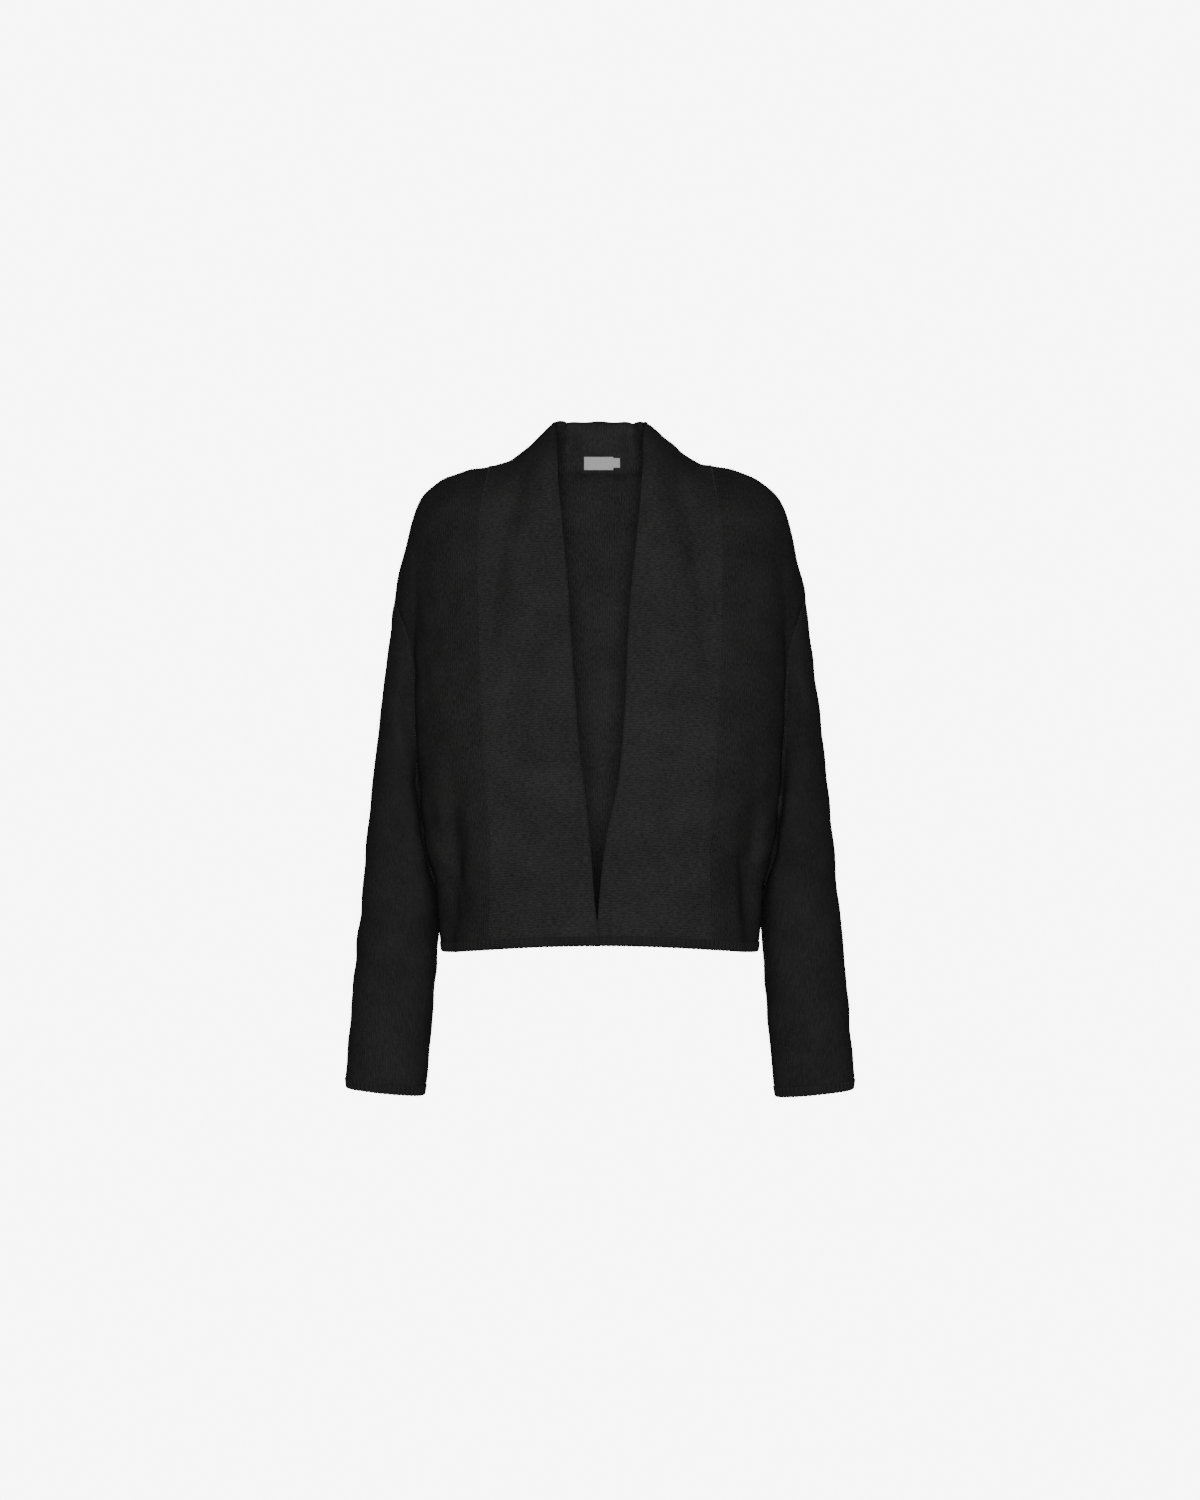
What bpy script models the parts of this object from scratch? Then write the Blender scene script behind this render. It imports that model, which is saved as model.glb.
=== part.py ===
"""A wide, open-fronted knitted cardigan, filled out as if worn, with nobody in it.

Metres, +Z up.  The wearer faces -Y and the wearer's left is at +X.  The origin is midway between the
two neck points, where the cardigan rests on the shoulders.

Each panel is a grid of points on the outer face of its cloth.  Rows run up the body or down the arm.
The left half, at +X, is worked out from the tables, and the right half mirrors it, apart from the
free edges of the bands, which overlap at the hem.  Panels that are sewn together share the points of
their seam, and each is then drawn back by half the seam gap.
"""

import math
from collections import namedtuple

import bpy
import numpy as np
from mathutils import Vector
from mathutils.bvhtree import BVHTree

# ---------------------------------------------------------------------------------------- cloth
WALL = 0.0025                    # thickness of the knit
SEAM_GAP = 0.0003                # between two panels at their seam
FACING_AWAY = 0.2                # panels whose faces turn further apart than this keep their own
SAME_POINT = 0.00005             # seam points closer than this are one
LONGEST_REACH = 1.6              # how much deeper a wall may go at a folded seam
RIB_RAISE = 0.0008               # how far a rib stands out from its strip
RIB_PITCH = 0.0052               # from one rib to the next
RIB_HEIGHT = 0.010               # of the hem and cuff ribs
RIB_DRAW_IN = 0.0012             # how far the rib pulls its lower edge in

# -------------------------------------------------------------------------------- mesh density
SIDE_ROWS = 4                    # from the hem to the underarm point
ARMHOLE_ROWS = 16                # from the underarm point to the dropped shoulder point
SHOULDER_COLUMNS = 12            # along the shoulder seam
NECK_COLUMNS = 10                # along half of the back neck
BAND_COLUMNS = 9                 # across a collar band
SLEEVE_ROWS = 13                 # down a sleeve
FINE = 240                       # points of a row before it is spaced out evenly

# ------------------------------------------------------------------------- points of the pattern
HEM_HEIGHT = -0.511
HEM_RISE = 0.010                 # the front hem is higher at its middle by this
HEM_HALF_WIDTH = 0.165
HEM_BEND = 0.060                 # the rows of a band follow the hem's curve up to this far above it
UNDERARM = (0.1720, 0.0, -0.443)
SHOULDER_POINT = (0.216, 0.0, -0.144)
NECK_POINT = (0.116, 0.0, -0.002)
NAPE_DEPTH = 0.062               # the neck seam at the centre back
NAPE_RISE = 0.008
NECK_POWER = 0.9
ARMHOLE_DEPTH = 0.054            # how far the armhole seam stands in front of and behind the arm
ARMHOLE_POWER = 0.9
ARM_RADIUS = 0.043               # of the rounding where the shoulder turns down into the sleeve
DEPTH_BLEND = 8.0                # how sharply the chest and the shoulder rounding meet
EDGE_FADE = 4.0                  # how quickly a seam's own depth fades into its panel
TOP_FADE = 0.16                  # share of a panel's height that follows its top seam

# Horizontal sections of the body.  chest: half width of the chest form.  side: half width where the
# shoulder turns down.  front, back: depth.  The powers square the corners.  arm: depth of the rounding.
Section = namedtuple("Section", "height chest side front back front_power back_power arm")
SECTIONS = (
    Section(-0.515, 0.1650, 0.1650, 0.116, 0.090, 2.9, 2.7, 0.000),
    Section(-0.470, 0.1680, 0.1680, 0.119, 0.093, 3.0, 2.8, 0.000),
    Section(-0.443, 0.1710, 0.1710, 0.121, 0.095, 3.1, 2.9, 0.000),
    Section(-0.430, 0.1740, 0.1740, 0.122, 0.096, 3.1, 2.9, 0.000),
    Section(-0.417, 0.1775, 0.1775, 0.123, 0.097, 3.2, 3.0, 0.000),
    Section(-0.396, 0.1820, 0.1820, 0.125, 0.098, 3.3, 3.0, 0.000),
    Section(-0.354, 0.1870, 0.1870, 0.127, 0.100, 3.4, 3.1, 0.000),
    Section(-0.312, 0.1900, 0.1900, 0.128, 0.102, 3.5, 3.2, 0.010),
    Section(-0.249, 0.1920, 0.1940, 0.127, 0.104, 3.5, 3.2, 0.035),
    Section(-0.200, 0.1930, 0.2010, 0.122, 0.104, 3.4, 3.1, 0.050),
    Section(-0.170, 0.1930, 0.2085, 0.117, 0.103, 3.2, 3.0, 0.054),
    Section(-0.144, 0.1930, 0.2160, 0.112, 0.101, 3.1, 2.9, 0.055),
    Section(-0.102, 0.1940, 0.2075, 0.099, 0.096, 2.9, 2.7, 0.054),
    Section(-0.060, 0.1930, 0.1975, 0.081, 0.088, 2.6, 2.5, 0.048),
    Section(-0.039, 0.1870, 0.1890, 0.068, 0.083, 2.5, 2.4, 0.040),
    Section(-0.018, 0.1660, 0.1670, 0.046, 0.075, 2.3, 2.3, 0.026),
    Section(-0.007, 0.1385, 0.1390, 0.027, 0.068, 2.2, 2.2, 0.014),
    Section(-0.002, 0.1160, 0.1160, 0.014, 0.062, 2.2, 2.1, 0.006),
    Section(+0.008, 0.1160, 0.1160, 0.012, 0.062, 2.2, 2.1, 0.006),
)

# Distance of the armhole seam from the middle of the body.
ArmholeStep = namedtuple("ArmholeStep", "height x")
ARMHOLE = (
    ArmholeStep(-0.443, 0.1720),
    ArmholeStep(-0.430, 0.1770),
    ArmholeStep(-0.417, 0.1810),
    ArmholeStep(-0.396, 0.1850),
    ArmholeStep(-0.354, 0.1885),
    ArmholeStep(-0.312, 0.1905),
    ArmholeStep(-0.249, 0.1930),
    ArmholeStep(-0.200, 0.1970),
    ArmholeStep(-0.170, 0.2050),
    ArmholeStep(-0.150, 0.2130),
    ArmholeStep(-0.144, 0.2160),
)

# The collar band below the collar.  seam: distance of its seam with the front from the middle.
# left_edge, right_edge: its free edge on the wearer's left and right, past the middle where negative.
BandStep = namedtuple("BandStep", "height seam left_edge right_edge")
BAND = (
    BandStep(-0.509, 0.114, -0.0050, -0.0015),
    BandStep(-0.466, 0.112, -0.0020, 0.0045),
    BandStep(-0.406, 0.111, 0.0035, 0.0090),
    BandStep(-0.375, 0.112, 0.0090, 0.0115),
    BandStep(-0.340, 0.116, 0.0170, 0.0155),
    BandStep(-0.301, 0.118, 0.0215, 0.0205),
    BandStep(-0.249, 0.121, 0.0255, 0.0245),
    BandStep(-0.196, 0.123, 0.0275, 0.0285),
    BandStep(-0.144, 0.124, 0.0305, 0.0315),
    BandStep(-0.102, 0.125, 0.0350, 0.0350),
    BandStep(-0.060, 0.124, 0.0385, 0.0385),
    BandStep(-0.039, 0.121, 0.0400, 0.0400),
    BandStep(-0.018, 0.118, 0.0420, 0.0420),
    BandStep(-0.002, 0.116, 0.0440, 0.0440),
)
LAP_TOP = -0.380                 # below this the right band comes forward over the left one
LAP_BLEND = 0.050                # height over which it does so
RIGHT_LAP = 0.0032
LEFT_LAP = -0.0012

# The collar, across the band from its seam over its turn to its free edge.  along: distance along the
# seam from the neck point, negative down the front.  Each point is (x, y, z) in millimetres.
CollarRow = namedtuple("CollarRow", "along low middle high turn fall edge")
COLLAR = (
    CollarRow(-0.093, (107, -75, -58), (90, -79, -55), (74, -84, -52), (60, -89, -50), (50, -89, -48),
              (40, -84, -47)),
    CollarRow(-0.056, (103, -53, -27), (88, -56, -23), (74, -62, -17), (60, -69, -12), (51, -69, -9),
              (43, -63, -7)),
    CollarRow(-0.025, (101, -27, -9), (86, -29, -2), (71, -33, 9), (58, -36, 18), (50, -35, 22),
              (44, -29, 24)),
    CollarRow(0.000, (101, 1, 0), (86, 3, 7), (70, 5, 22), (57, 8, 35), (50, 10, 42), (45, 14, 46)),
    CollarRow(0.012, (98, 12, 3), (82, 13, 13), (67, 15, 27), (55, 18, 38.5), (49, 21, 44), (46, 26, 47)),
    CollarRow(0.030, (87, 29, 9), (71, 30, 24), (58, 32, 36.5), (49, 35.5, 43.5), (47.5, 40, 47),
              (50, 47, 47.5)),
    CollarRow(0.058, (72, 43, 12), (57, 43, 26), (47, 42, 38), (42.5, 46, 46), (46, 56, 45.5),
              (55, 63, 34)),
    CollarRow(0.098, (37, 56, 19), (29, 55, 32), (26, 55.5, 42), (27.5, 63, 47), (32, 74, 38),
              (37, 80.5, 13)),
    CollarRow(0.142, (0, 58, 20), (0, 56, 33), (0, 58.5, 43), (0, 68, 47), (0, 80, 33), (0, 84, -4)),
)
BAND_ROW_TOP = -0.125            # heights of the plain band rows that lead up to the collar
BAND_ROW_STEP = 0.042
BEFORE_THE_NAPE = (-2, -4)       # rows reflected beyond the nape, each counted from the end of the list

# Sleeve rings, each by its innermost and outermost point, how far it reaches in front of and behind
# its middle, and where that middle lies along Y.
Ring = namedtuple("Ring", "inner_x inner_z outer_x outer_z half_depth centre_y power")
RINGS = (
    Ring(0.1720, -0.443, 0.2160, -0.144, 0.054, 0.000, 2.0),
    Ring(0.1745, -0.452, 0.2250, -0.215, 0.061, 0.000, 2.0),
    Ring(0.1755, -0.470, 0.2340, -0.290, 0.062, 0.001, 2.1),
    Ring(0.1750, -0.500, 0.2435, -0.380, 0.058, 0.002, 2.2),
    Ring(0.1745, -0.545, 0.2525, -0.470, 0.052, 0.000, 2.3),
    Ring(0.1767, -0.595, 0.2600, -0.560, 0.045, -0.004, 2.3),
    Ring(0.1820, -0.654, 0.2665, -0.646, 0.039, -0.010, 2.3),
)
CUFF_END = Ring(0.1838, -0.6645, 0.2650, -0.6565, 0.0375, -0.011, 2.3)
RIGHT_SLEEVE_SHORTER = 0.004
RING_FADE = 0.35                 # share of the sleeve over which the armhole seam's own shape fades

# Folds of the body.  face: -1 front, +1 back.  Each step is (height, x, depth).
Fold = namedtuple("Fold", "name face width steps")
FOLDS = (
    Fold("underarm crease, front", -1, 0.022,
         ((-0.320, 0.146, 0.000), (-0.396, 0.150, 0.007), (-0.443, 0.157, 0.011),
          (-0.470, 0.158, 0.009), (-0.515, 0.158, 0.005))),
    Fold("underarm crease, back", 1, 0.024,
         ((-0.310, 0.140, 0.000), (-0.400, 0.146, 0.006), (-0.443, 0.152, 0.009),
          (-0.470, 0.154, 0.007), (-0.515, 0.154, 0.004))),
    Fold("drape from the shoulder blade", 1, 0.022,
         ((-0.170, 0.122, 0.000), (-0.215, 0.116, 0.005), (-0.290, 0.104, 0.007),
          (-0.380, 0.094, 0.005), (-0.480, 0.088, 0.000))),
)

# Folds of the sleeves.  Each runs from one place to another: how far down the sleeve (0 to 1) and
# round it (0 underarm, 0.5 back, 1 outside, 1.5 front).
SleeveFold = namedtuple("SleeveFold", "start_down start_round end_down end_round depth width")
FOLD_ENDS = 0.4                  # a sleeve fold's depth at its ends, as a share of its middle's
RIGHT_FOLDS_LOWER = 0.05         # the right sleeve's folds lie this share of the sleeve lower
CUFF_FADE = 0.125                # share of the sleeve, above the cuff, over which the folds die out
SLEEVE_FOLDS = (
    SleeveFold(0.30, 1.90, 0.44, 1.38, 0.0060, 0.022),
    SleeveFold(0.52, 1.05, 0.62, 1.60, 0.0045, 0.020),
    SleeveFold(0.34, 0.10, 0.50, 0.65, 0.0060, 0.024),
    SleeveFold(0.62, 0.90, 0.72, 0.40, 0.0045, 0.020),
)

# ------------------------------------------------------------------------------- label at the nape
LABEL_THICKNESS = 0.0006
LABEL_STAND_OFF = 0.0012         # the label lies over the tab
TAB_THICKNESS = 0.0004
TAB_STAND_OFF = 0.0003
# A tag reaches from left to right along X and from bottom to top along Z, in so many columns.
Tag = namedtuple("Tag", "left right bottom top thickness stand_off columns")
LABEL = Tag(-0.0170, 0.0143, -0.0030, 0.0112, LABEL_THICKNESS, LABEL_STAND_OFF, 7)
TAB = Tag(0.0075, 0.0213, -0.0004, 0.0100, TAB_THICKNESS, TAB_STAND_OFF, 4)
TAG_PROBE = 0.020                # the rays that find the wall behind a tag start at this Y
TAG_PROBES = 8                   # rays in each column
PROBE_ASIDE = 0.00001            # keeps a ray off the seam in the middle

KNIT_COLOUR = (0.0137, 0.0137, 0.0142, 1.0)
SATIN_COLOUR = (0.30, 0.30, 0.30, 1.0)

MIRROR = np.array((-1.0, 1.0, 1.0))
UP = np.array((0.0, 0.0, 1.0))


# ------------------------------------------------------------------------------- curves and tables
def column(table, name):
    """One named column of a table."""
    return np.array([getattr(row, name) for row in table], dtype=float)


def monotone(known_at, known, at):
    """A smooth curve through a table's rows that never overshoots them."""
    at = np.clip(at, known_at[0], known_at[-1])
    step = np.diff(known_at)
    slope = np.diff(known) / step
    tangent = np.concatenate((slope[:1], np.zeros(len(slope) - 1), slope[-1:]))
    product = slope[:-1] * slope[1:]
    total = slope[:-1] + slope[1:]
    same_sign = product > 0
    tangent[1:-1][same_sign] = 2.0 * product[same_sign] / total[same_sign]
    i = np.clip(np.searchsorted(known_at, at, side="right") - 1, 0, len(step) - 1)
    t = (at - known_at[i]) / step[i]
    start = known[i] * (1 + 2 * t) * (1 - t) ** 2 + tangent[i] * step[i] * t * (1 - t) ** 2
    end = known[i + 1] * t ** 2 * (3 - 2 * t) - tangent[i + 1] * step[i] * t ** 2 * (1 - t)
    return start + end


def spline(known_at, known, at):
    """A natural cubic spline through rows of numbers of any shape."""
    known_at = np.asarray(known_at, dtype=float)
    flat = np.asarray(known, dtype=float).reshape(len(known_at), -1)
    step = np.diff(known_at)
    system = np.eye(len(known_at))
    right_side = np.zeros_like(flat)
    for k in range(1, len(known_at) - 1):
        system[k, k - 1:k + 2] = step[k - 1], 2 * (step[k - 1] + step[k]), step[k]
        rise = (flat[k + 1] - flat[k]) / step[k] - (flat[k] - flat[k - 1]) / step[k - 1]
        right_side[k] = 6 * rise
    bend = np.linalg.solve(system, right_side)
    at = np.asarray(at, dtype=float)
    i = np.clip(np.searchsorted(known_at, at, side="right") - 1, 0, len(step) - 1)
    b = ((at - known_at[i]) / step[i])[:, None]
    a = 1 - b
    curve = a * flat[i] + b * flat[i + 1]
    curve += ((a ** 3 - a) * bend[i] + (b ** 3 - b) * bend[i + 1]) * step[i][:, None] ** 2 / 6
    return curve.reshape((len(at),) + np.asarray(known).shape[1:])


def arc_lengths(points):
    """Distance of each point along a line of points."""
    return np.concatenate(([0.0], np.cumsum(np.linalg.norm(np.diff(points, axis=0), axis=1))))


def along(points, distances):
    """Points at the given distances along a line of points."""
    length = arc_lengths(points)
    return np.stack([np.interp(distances, length, points[:, axis]) for axis in range(3)], axis=1)


def spaced(points, count):
    """A line of points, spaced out evenly into count stretches."""
    return along(points, np.linspace(0.0, arc_lengths(points)[-1], count + 1))


# ---------------------------------------------------------------------------------- the body form
def section(name, height):
    """A size of the body at a height."""
    return monotone(column(SECTIONS, "height"), column(SECTIONS, name), height)


def cloth_depth(x, height, face):
    """How far the cloth stands from the plane Y = 0, on the front (-1) or the back (+1)."""
    chest = section("chest", height)
    depth = section("front" if face < 0 else "back", height)
    power = section("front_power" if face < 0 else "back_power", height)
    across = np.clip(np.abs(x) / chest, 0.0, 1.0)
    body = depth * (1.0 - across ** power) ** (1.0 / power)
    past_arm = (np.abs(x) - section("side", height) + ARM_RADIUS) / ARM_RADIUS
    arm = section("arm", height) * np.sqrt(1.0 - np.clip(past_arm, 0.0, 1.0) ** 2)
    return (body ** DEPTH_BLEND + arm ** DEPTH_BLEND) ** (1.0 / DEPTH_BLEND)


def hem_height(x, face):
    """Height of the panels' lower edge, above the rib."""
    rise = HEM_RISE * (1.0 - (x / HEM_HALF_WIDTH) ** 2) if face < 0 else 0.0 * x
    return HEM_HEIGHT + RIB_HEIGHT + np.maximum(rise, 0.0)


def armhole_steps():
    """Where the armhole's points lie from the underarm (0) to the shoulder point (1)."""
    fine = np.linspace(0.0, 1.0, FINE)
    even = np.interp(np.linspace(0.0, 1.0, ARMHOLE_ROWS + 1),
                     arc_lengths(armhole_points(fine, -1)) / arc_lengths(armhole_points(fine, -1))[-1],
                     fine)
    return (even + np.linspace(0.0, 1.0, ARMHOLE_ROWS + 1)) / 2


def armhole_points(step, face):
    """Points of the armhole seam, from the underarm (0) to the shoulder point (1)."""
    height = UNDERARM[2] + (SHOULDER_POINT[2] - UNDERARM[2]) * (1.0 - np.cos(math.pi * step)) / 2
    x = monotone(column(ARMHOLE, "height"), column(ARMHOLE, "x"), height)
    y = face * ARMHOLE_DEPTH * np.abs(np.sin(math.pi * step)) ** ARMHOLE_POWER
    return np.stack((x, y, height), axis=1)


def outer_seam(face):
    """The side seam from the hem to the underarm, and the armhole above it."""
    bottom = HEM_HEIGHT + RIB_HEIGHT
    height = np.linspace(bottom, UNDERARM[2], SIDE_ROWS + 1)
    side = np.stack((section("chest", height), 0.0 * height, height), axis=1)
    return np.concatenate((side[:-1], armhole_points(armhole_steps(), face)))


def shoulder_seam():
    """From the shoulder point to the neck point."""
    height = np.linspace(SHOULDER_POINT[2], NECK_POINT[2], FINE)
    return spaced(np.stack((section("side", height), 0.0 * height, height), axis=1), SHOULDER_COLUMNS)


def neckline():
    """Half of the back neck seam, from the neck point to the nape."""
    turn = np.linspace(0.0, math.pi / 2, FINE)
    x = NECK_POINT[0] * np.cos(turn)
    y = NAPE_DEPTH * np.sin(turn) ** NECK_POWER
    return spaced(np.stack((x, y, NECK_POINT[2] + NAPE_RISE * np.sin(turn) ** 2), axis=1), NECK_COLUMNS)


def band_seam_line():
    """The seam between the front and its band, from the hem to the neck point, as many fine points."""
    foot = hem_height(BAND[0].seam, -1)
    height = np.linspace(foot, NECK_POINT[2], FINE)
    x = monotone(column(BAND, "height"), column(BAND, "seam"), height)
    y = -cloth_depth(x, height, -1)
    y[-1] = NECK_POINT[1]
    return np.stack((x, y, height), axis=1)


def band_seam():
    """The same seam, with a point for each row: the first rows are level with the side seam's."""
    line = band_seam_line()
    length = arc_lengths(line)
    underarm_level = np.interp(UNDERARM[2] + HEM_RISE / 2, line[:, 2], length)
    below = np.linspace(0.0, underarm_level, SIDE_ROWS + 1)
    above = np.linspace(underarm_level, length[-1], ARMHOLE_ROWS + 1)
    return along(line, np.concatenate((below[:-1], above)))


# ----------------------------------------------------------------------------- rows of the panels
def press_folds(row, face):
    """Presses the body's folds into a row of points, square to the row and level."""
    length = arc_lengths(row)
    tangent = np.gradient(row, axis=0)[:, :2]
    tangent /= np.maximum(np.linalg.norm(tangent, axis=1), 1e-9)[:, None]
    inward = np.stack((tangent[:, 1], -tangent[:, 0]), axis=1)
    inward *= np.where(inward[:, 1] * -face < 0, -1.0, 1.0)[:, None]
    push = np.zeros(len(row))
    for fold in FOLDS:
        if fold.face != face:
            continue
        height, x, depth = (np.array(values) for values in zip(*reversed(fold.steps)))
        nearest = np.argmin(np.abs(row[:, 0] - monotone(height, x, row[:, 2])))
        level = row[nearest, 2]
        if height[0] <= level <= height[-1]:
            across = (length - length[nearest]) / fold.width
            push += monotone(height, depth, level) * np.exp(-across ** 2)
    pressed = row.copy()
    pressed[:, :2] += inward * push[:, None]
    return pressed


def panel_row(start, end, below, above, rise, face):
    """One row between two seam points, bent and spaced out as the panel's lower and upper edges are.

    below and above are those edges, the lower one evenly spaced, and rise how far up the row lies.
    """
    u = 1.0 - (1.0 - np.linspace(0.0, 1.0, FINE)) ** 4
    weight = np.stack((1.0 - u, u), axis=1)
    flat = weight @ np.stack((start, end))
    for edge, share in ((below, 1.0 - rise), (above, rise)):
        fine_edge = along(edge, u * arc_lengths(edge)[-1])
        flat += share * (fine_edge - weight @ np.stack((edge[0], edge[-1])))
    row = np.stack((flat[:, 0], face * cloth_depth(flat[:, 0], flat[:, 2], face), flat[:, 2]), axis=1)
    row = press_folds(row, face)
    share = arc_lengths(row) / arc_lengths(row)[-1]
    row += np.outer((1.0 - share) ** EDGE_FADE, start - row[0])
    row += np.outer(share ** EDGE_FADE, end - row[-1])
    even = np.interp(np.linspace(0.0, 1.0, len(above)), share, u)
    steps = (1.0 - rise) * even + rise * arc_lengths(above) / arc_lengths(above)[-1]
    return np.stack([np.interp(steps, u, row[:, axis]) for axis in range(3)], axis=1)


def panel_grid(inner, outer, below, above, face):
    """Rows from an inner seam to an outer one, the last of which is the top seam itself."""
    rows = len(inner)
    rise = (inner[:, 2] - inner[0, 2]) / (inner[-1, 2] - inner[0, 2])
    rise = (rise + (outer[:, 2] - outer[0, 2]) / (outer[-1, 2] - outer[0, 2])) / 2
    grid = np.stack([panel_row(inner[i], outer[i], below, above, rise[i], face) for i in range(rows)])
    near_top = np.clip((rise - 1.0 + TOP_FADE) / TOP_FADE, 0.0, 1.0) ** 2
    miss = above - grid[-1]
    return grid + near_top[:, None, None] * miss


def lower_edge(start, end, face):
    """The fine lower edge of a panel, level at the back and rising to the middle at the front."""
    x = np.linspace(start[0], end[0], FINE)
    return np.stack((x, 0.0 * x, hem_height(x, face)), axis=1)


def front_grid():
    """The left front, from its band seam to its side seam and armhole."""
    inner = band_seam()
    outer = outer_seam(-1)
    above = shoulder_seam()[::-1]
    return panel_grid(inner, outer, lower_edge(inner[0], outer[0], -1), above, -1)


def centre_back():
    """The middle line of the back, a point for each row."""
    heights = outer_seam(1)[:, 2]
    rise = (heights - heights[0]) / (heights[-1] - heights[0])
    height = heights[0] + rise * (NECK_POINT[2] + NAPE_RISE - heights[0])
    y = cloth_depth(0.0 * height, height, 1)
    y[-1] = NAPE_DEPTH
    return np.stack((0.0 * height, y, height), axis=1)


def back_grid():
    """The whole back, from the wearer's left side to the right."""
    inner = centre_back()
    outer = outer_seam(1)
    above = np.concatenate((shoulder_seam(), neckline()[1:]))[::-1]
    half = panel_grid(inner, outer, lower_edge(inner[0], outer[0], 1), above, 1)
    return np.concatenate((half[:, ::-1], half[:, 1:] * MIRROR), axis=1)


def band_row(seam_point, side, count):
    """A level row of the plain band, from its seam to its free edge, on the +1 or -1 side."""
    height = seam_point[2]
    edge_x = monotone(column(BAND, "height"),
                      column(BAND, "left_edge" if side > 0 else "right_edge"), height)
    x = np.linspace(seam_point[0], edge_x, FINE)
    share = np.linspace(0.0, 1.0, FINE)
    near_hem = np.clip(1.0 - (height - band_foot()) / HEM_BEND, 0.0, 1.0) ** 2
    z = height + near_hem * (hem_height(x, -1) - hem_height(seam_point[0], -1))
    lap = (RIGHT_LAP if side < 0 else LEFT_LAP) * np.clip((LAP_TOP - height) / LAP_BLEND, 0.0, 1.0)
    y = -cloth_depth(x, z, -1) - lap * share ** 3
    row = np.stack((x, y, z), axis=1)
    row += np.outer((1.0 - share) ** EDGE_FADE, seam_point - row[0])
    return spaced(row, count)


def band_foot():
    """Height of the foot of the band seam, above the rib."""
    return hem_height(BAND[0].seam, -1)


def collar_row(row, seam_line, count):
    """A row of the collar, from its seam over its turn to its free edge."""
    seam_point = along(seam_line, np.array([row.along]))[0]
    points = np.array((row.low, row.middle, row.high, row.turn, row.fall, row.edge)) / 1000.0
    knots = np.concatenate((seam_point[None], points))
    at = arc_lengths(knots)
    return spaced(spline(at, knots, np.linspace(0.0, at[-1], FINE)), count)


def band_grid(side):
    """A collar band, from its free edge to its seam: up the front, then round to the nape."""
    down = band_seam()
    seam = np.concatenate((down, neckline()[1:]))
    line = np.concatenate((band_seam_line(), neckline()[1:]))
    to_neck = arc_lengths(band_seam_line())[-1]
    plain_heights = np.arange(BAND_ROW_TOP, band_foot(), -BAND_ROW_STEP)[::-1]
    plain_heights = np.concatenate(([band_foot()], plain_heights))
    knots = []
    places = []
    for height in plain_heights:
        place = np.interp(height, band_seam_line()[:, 2], arc_lengths(band_seam_line()))
        places.append(place)
        knots.append(band_row(along(line, np.array([place]))[0], side, BAND_COLUMNS))
    for row in COLLAR:
        places.append(row.along + to_neck)
        knots.append(collar_row(row._replace(along=row.along + to_neck), line, BAND_COLUMNS))
    nape = arc_lengths(seam)[-1]
    places[-1] = nape
    for before in BEFORE_THE_NAPE:
        places.append(2 * nape - places[before])
        knots.append(knots[before] * MIRROR)
    grid = spline(places, np.stack(knots), arc_lengths(seam))
    miss = seam - grid[:, 0]
    share = np.linspace(1.0, 0.0, BAND_COLUMNS + 1) ** EDGE_FADE
    grid += share[None, :, None] * miss[:, None, :]
    grid[-1, :, 0] = 0.0
    return grid[:, ::-1]


# ------------------------------------------------------------------------------------- sleeves
def ring_places():
    """How far down the sleeve each ring of the table lies, from 0 to 1."""
    inner = np.stack((column(RINGS, "inner_x"), column(RINGS, "inner_z")), axis=1)
    outer = np.stack((column(RINGS, "outer_x"), column(RINGS, "outer_z")), axis=1)
    step = np.linalg.norm(np.diff(inner, axis=0), axis=1) + np.linalg.norm(np.diff(outer, axis=0), axis=1)
    places = np.concatenate(([0.0], np.cumsum(step)))
    return places / places[-1]


def ring_points(ring, turn):
    """Points round a ring; turn is 0 at the underarm and pi at the outside, through the back."""
    inner = np.array((ring.inner_x, 0.0, ring.inner_z))
    outer = np.array((ring.outer_x, 0.0, ring.outer_z))
    middle = (inner + outer) / 2 + (0.0, ring.centre_y, 0.0)
    cosine, sine = -np.cos(turn), np.sin(turn)
    across = np.sign(cosine) * np.abs(cosine) ** (2.0 / ring.power)
    deep = np.sign(sine) * np.abs(sine) ** (2.0 / ring.power)
    return middle + np.outer(across, (outer - inner) / 2) + np.outer(deep, (0.0, ring.half_depth, 0.0))


def sleeve_turns():
    """Angles of the sleeve's points, matched to those of the armhole seam."""
    up = armhole_steps() * math.pi
    return np.concatenate((up[:-1], 2 * math.pi - up[:0:-1]))


def armhole_loop():
    """The whole armhole seam: up the back from the underarm and down the front."""
    steps = armhole_steps()
    return np.concatenate((armhole_points(steps, 1)[:-1], armhole_points(steps, -1)[:0:-1]))


def lifted(side):
    """How much higher the cuff is on a side."""
    return RIGHT_SLEEVE_SHORTER if side < 0 else 0.0


def sleeve_grid(rows, turns, side):
    """The left sleeve's points, down to the cuff rib, with the length and folds of a side."""
    at = ring_places()
    down = np.linspace(0.0, 1.0, rows + 1)
    sizes = spline(at, np.array(RINGS), down)
    grid = np.stack([ring_points(Ring(*size), turns) for size in sizes])
    miss = armhole_loop() - grid[0]
    grid += (np.clip(1.0 - down / RING_FADE, 0.0, 1.0) ** 2)[:, None, None] * miss
    grid[..., 2] += lifted(side) * down[:, None] ** 2
    return press_sleeve_folds(grid, down, turns / math.pi, side)


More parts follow.
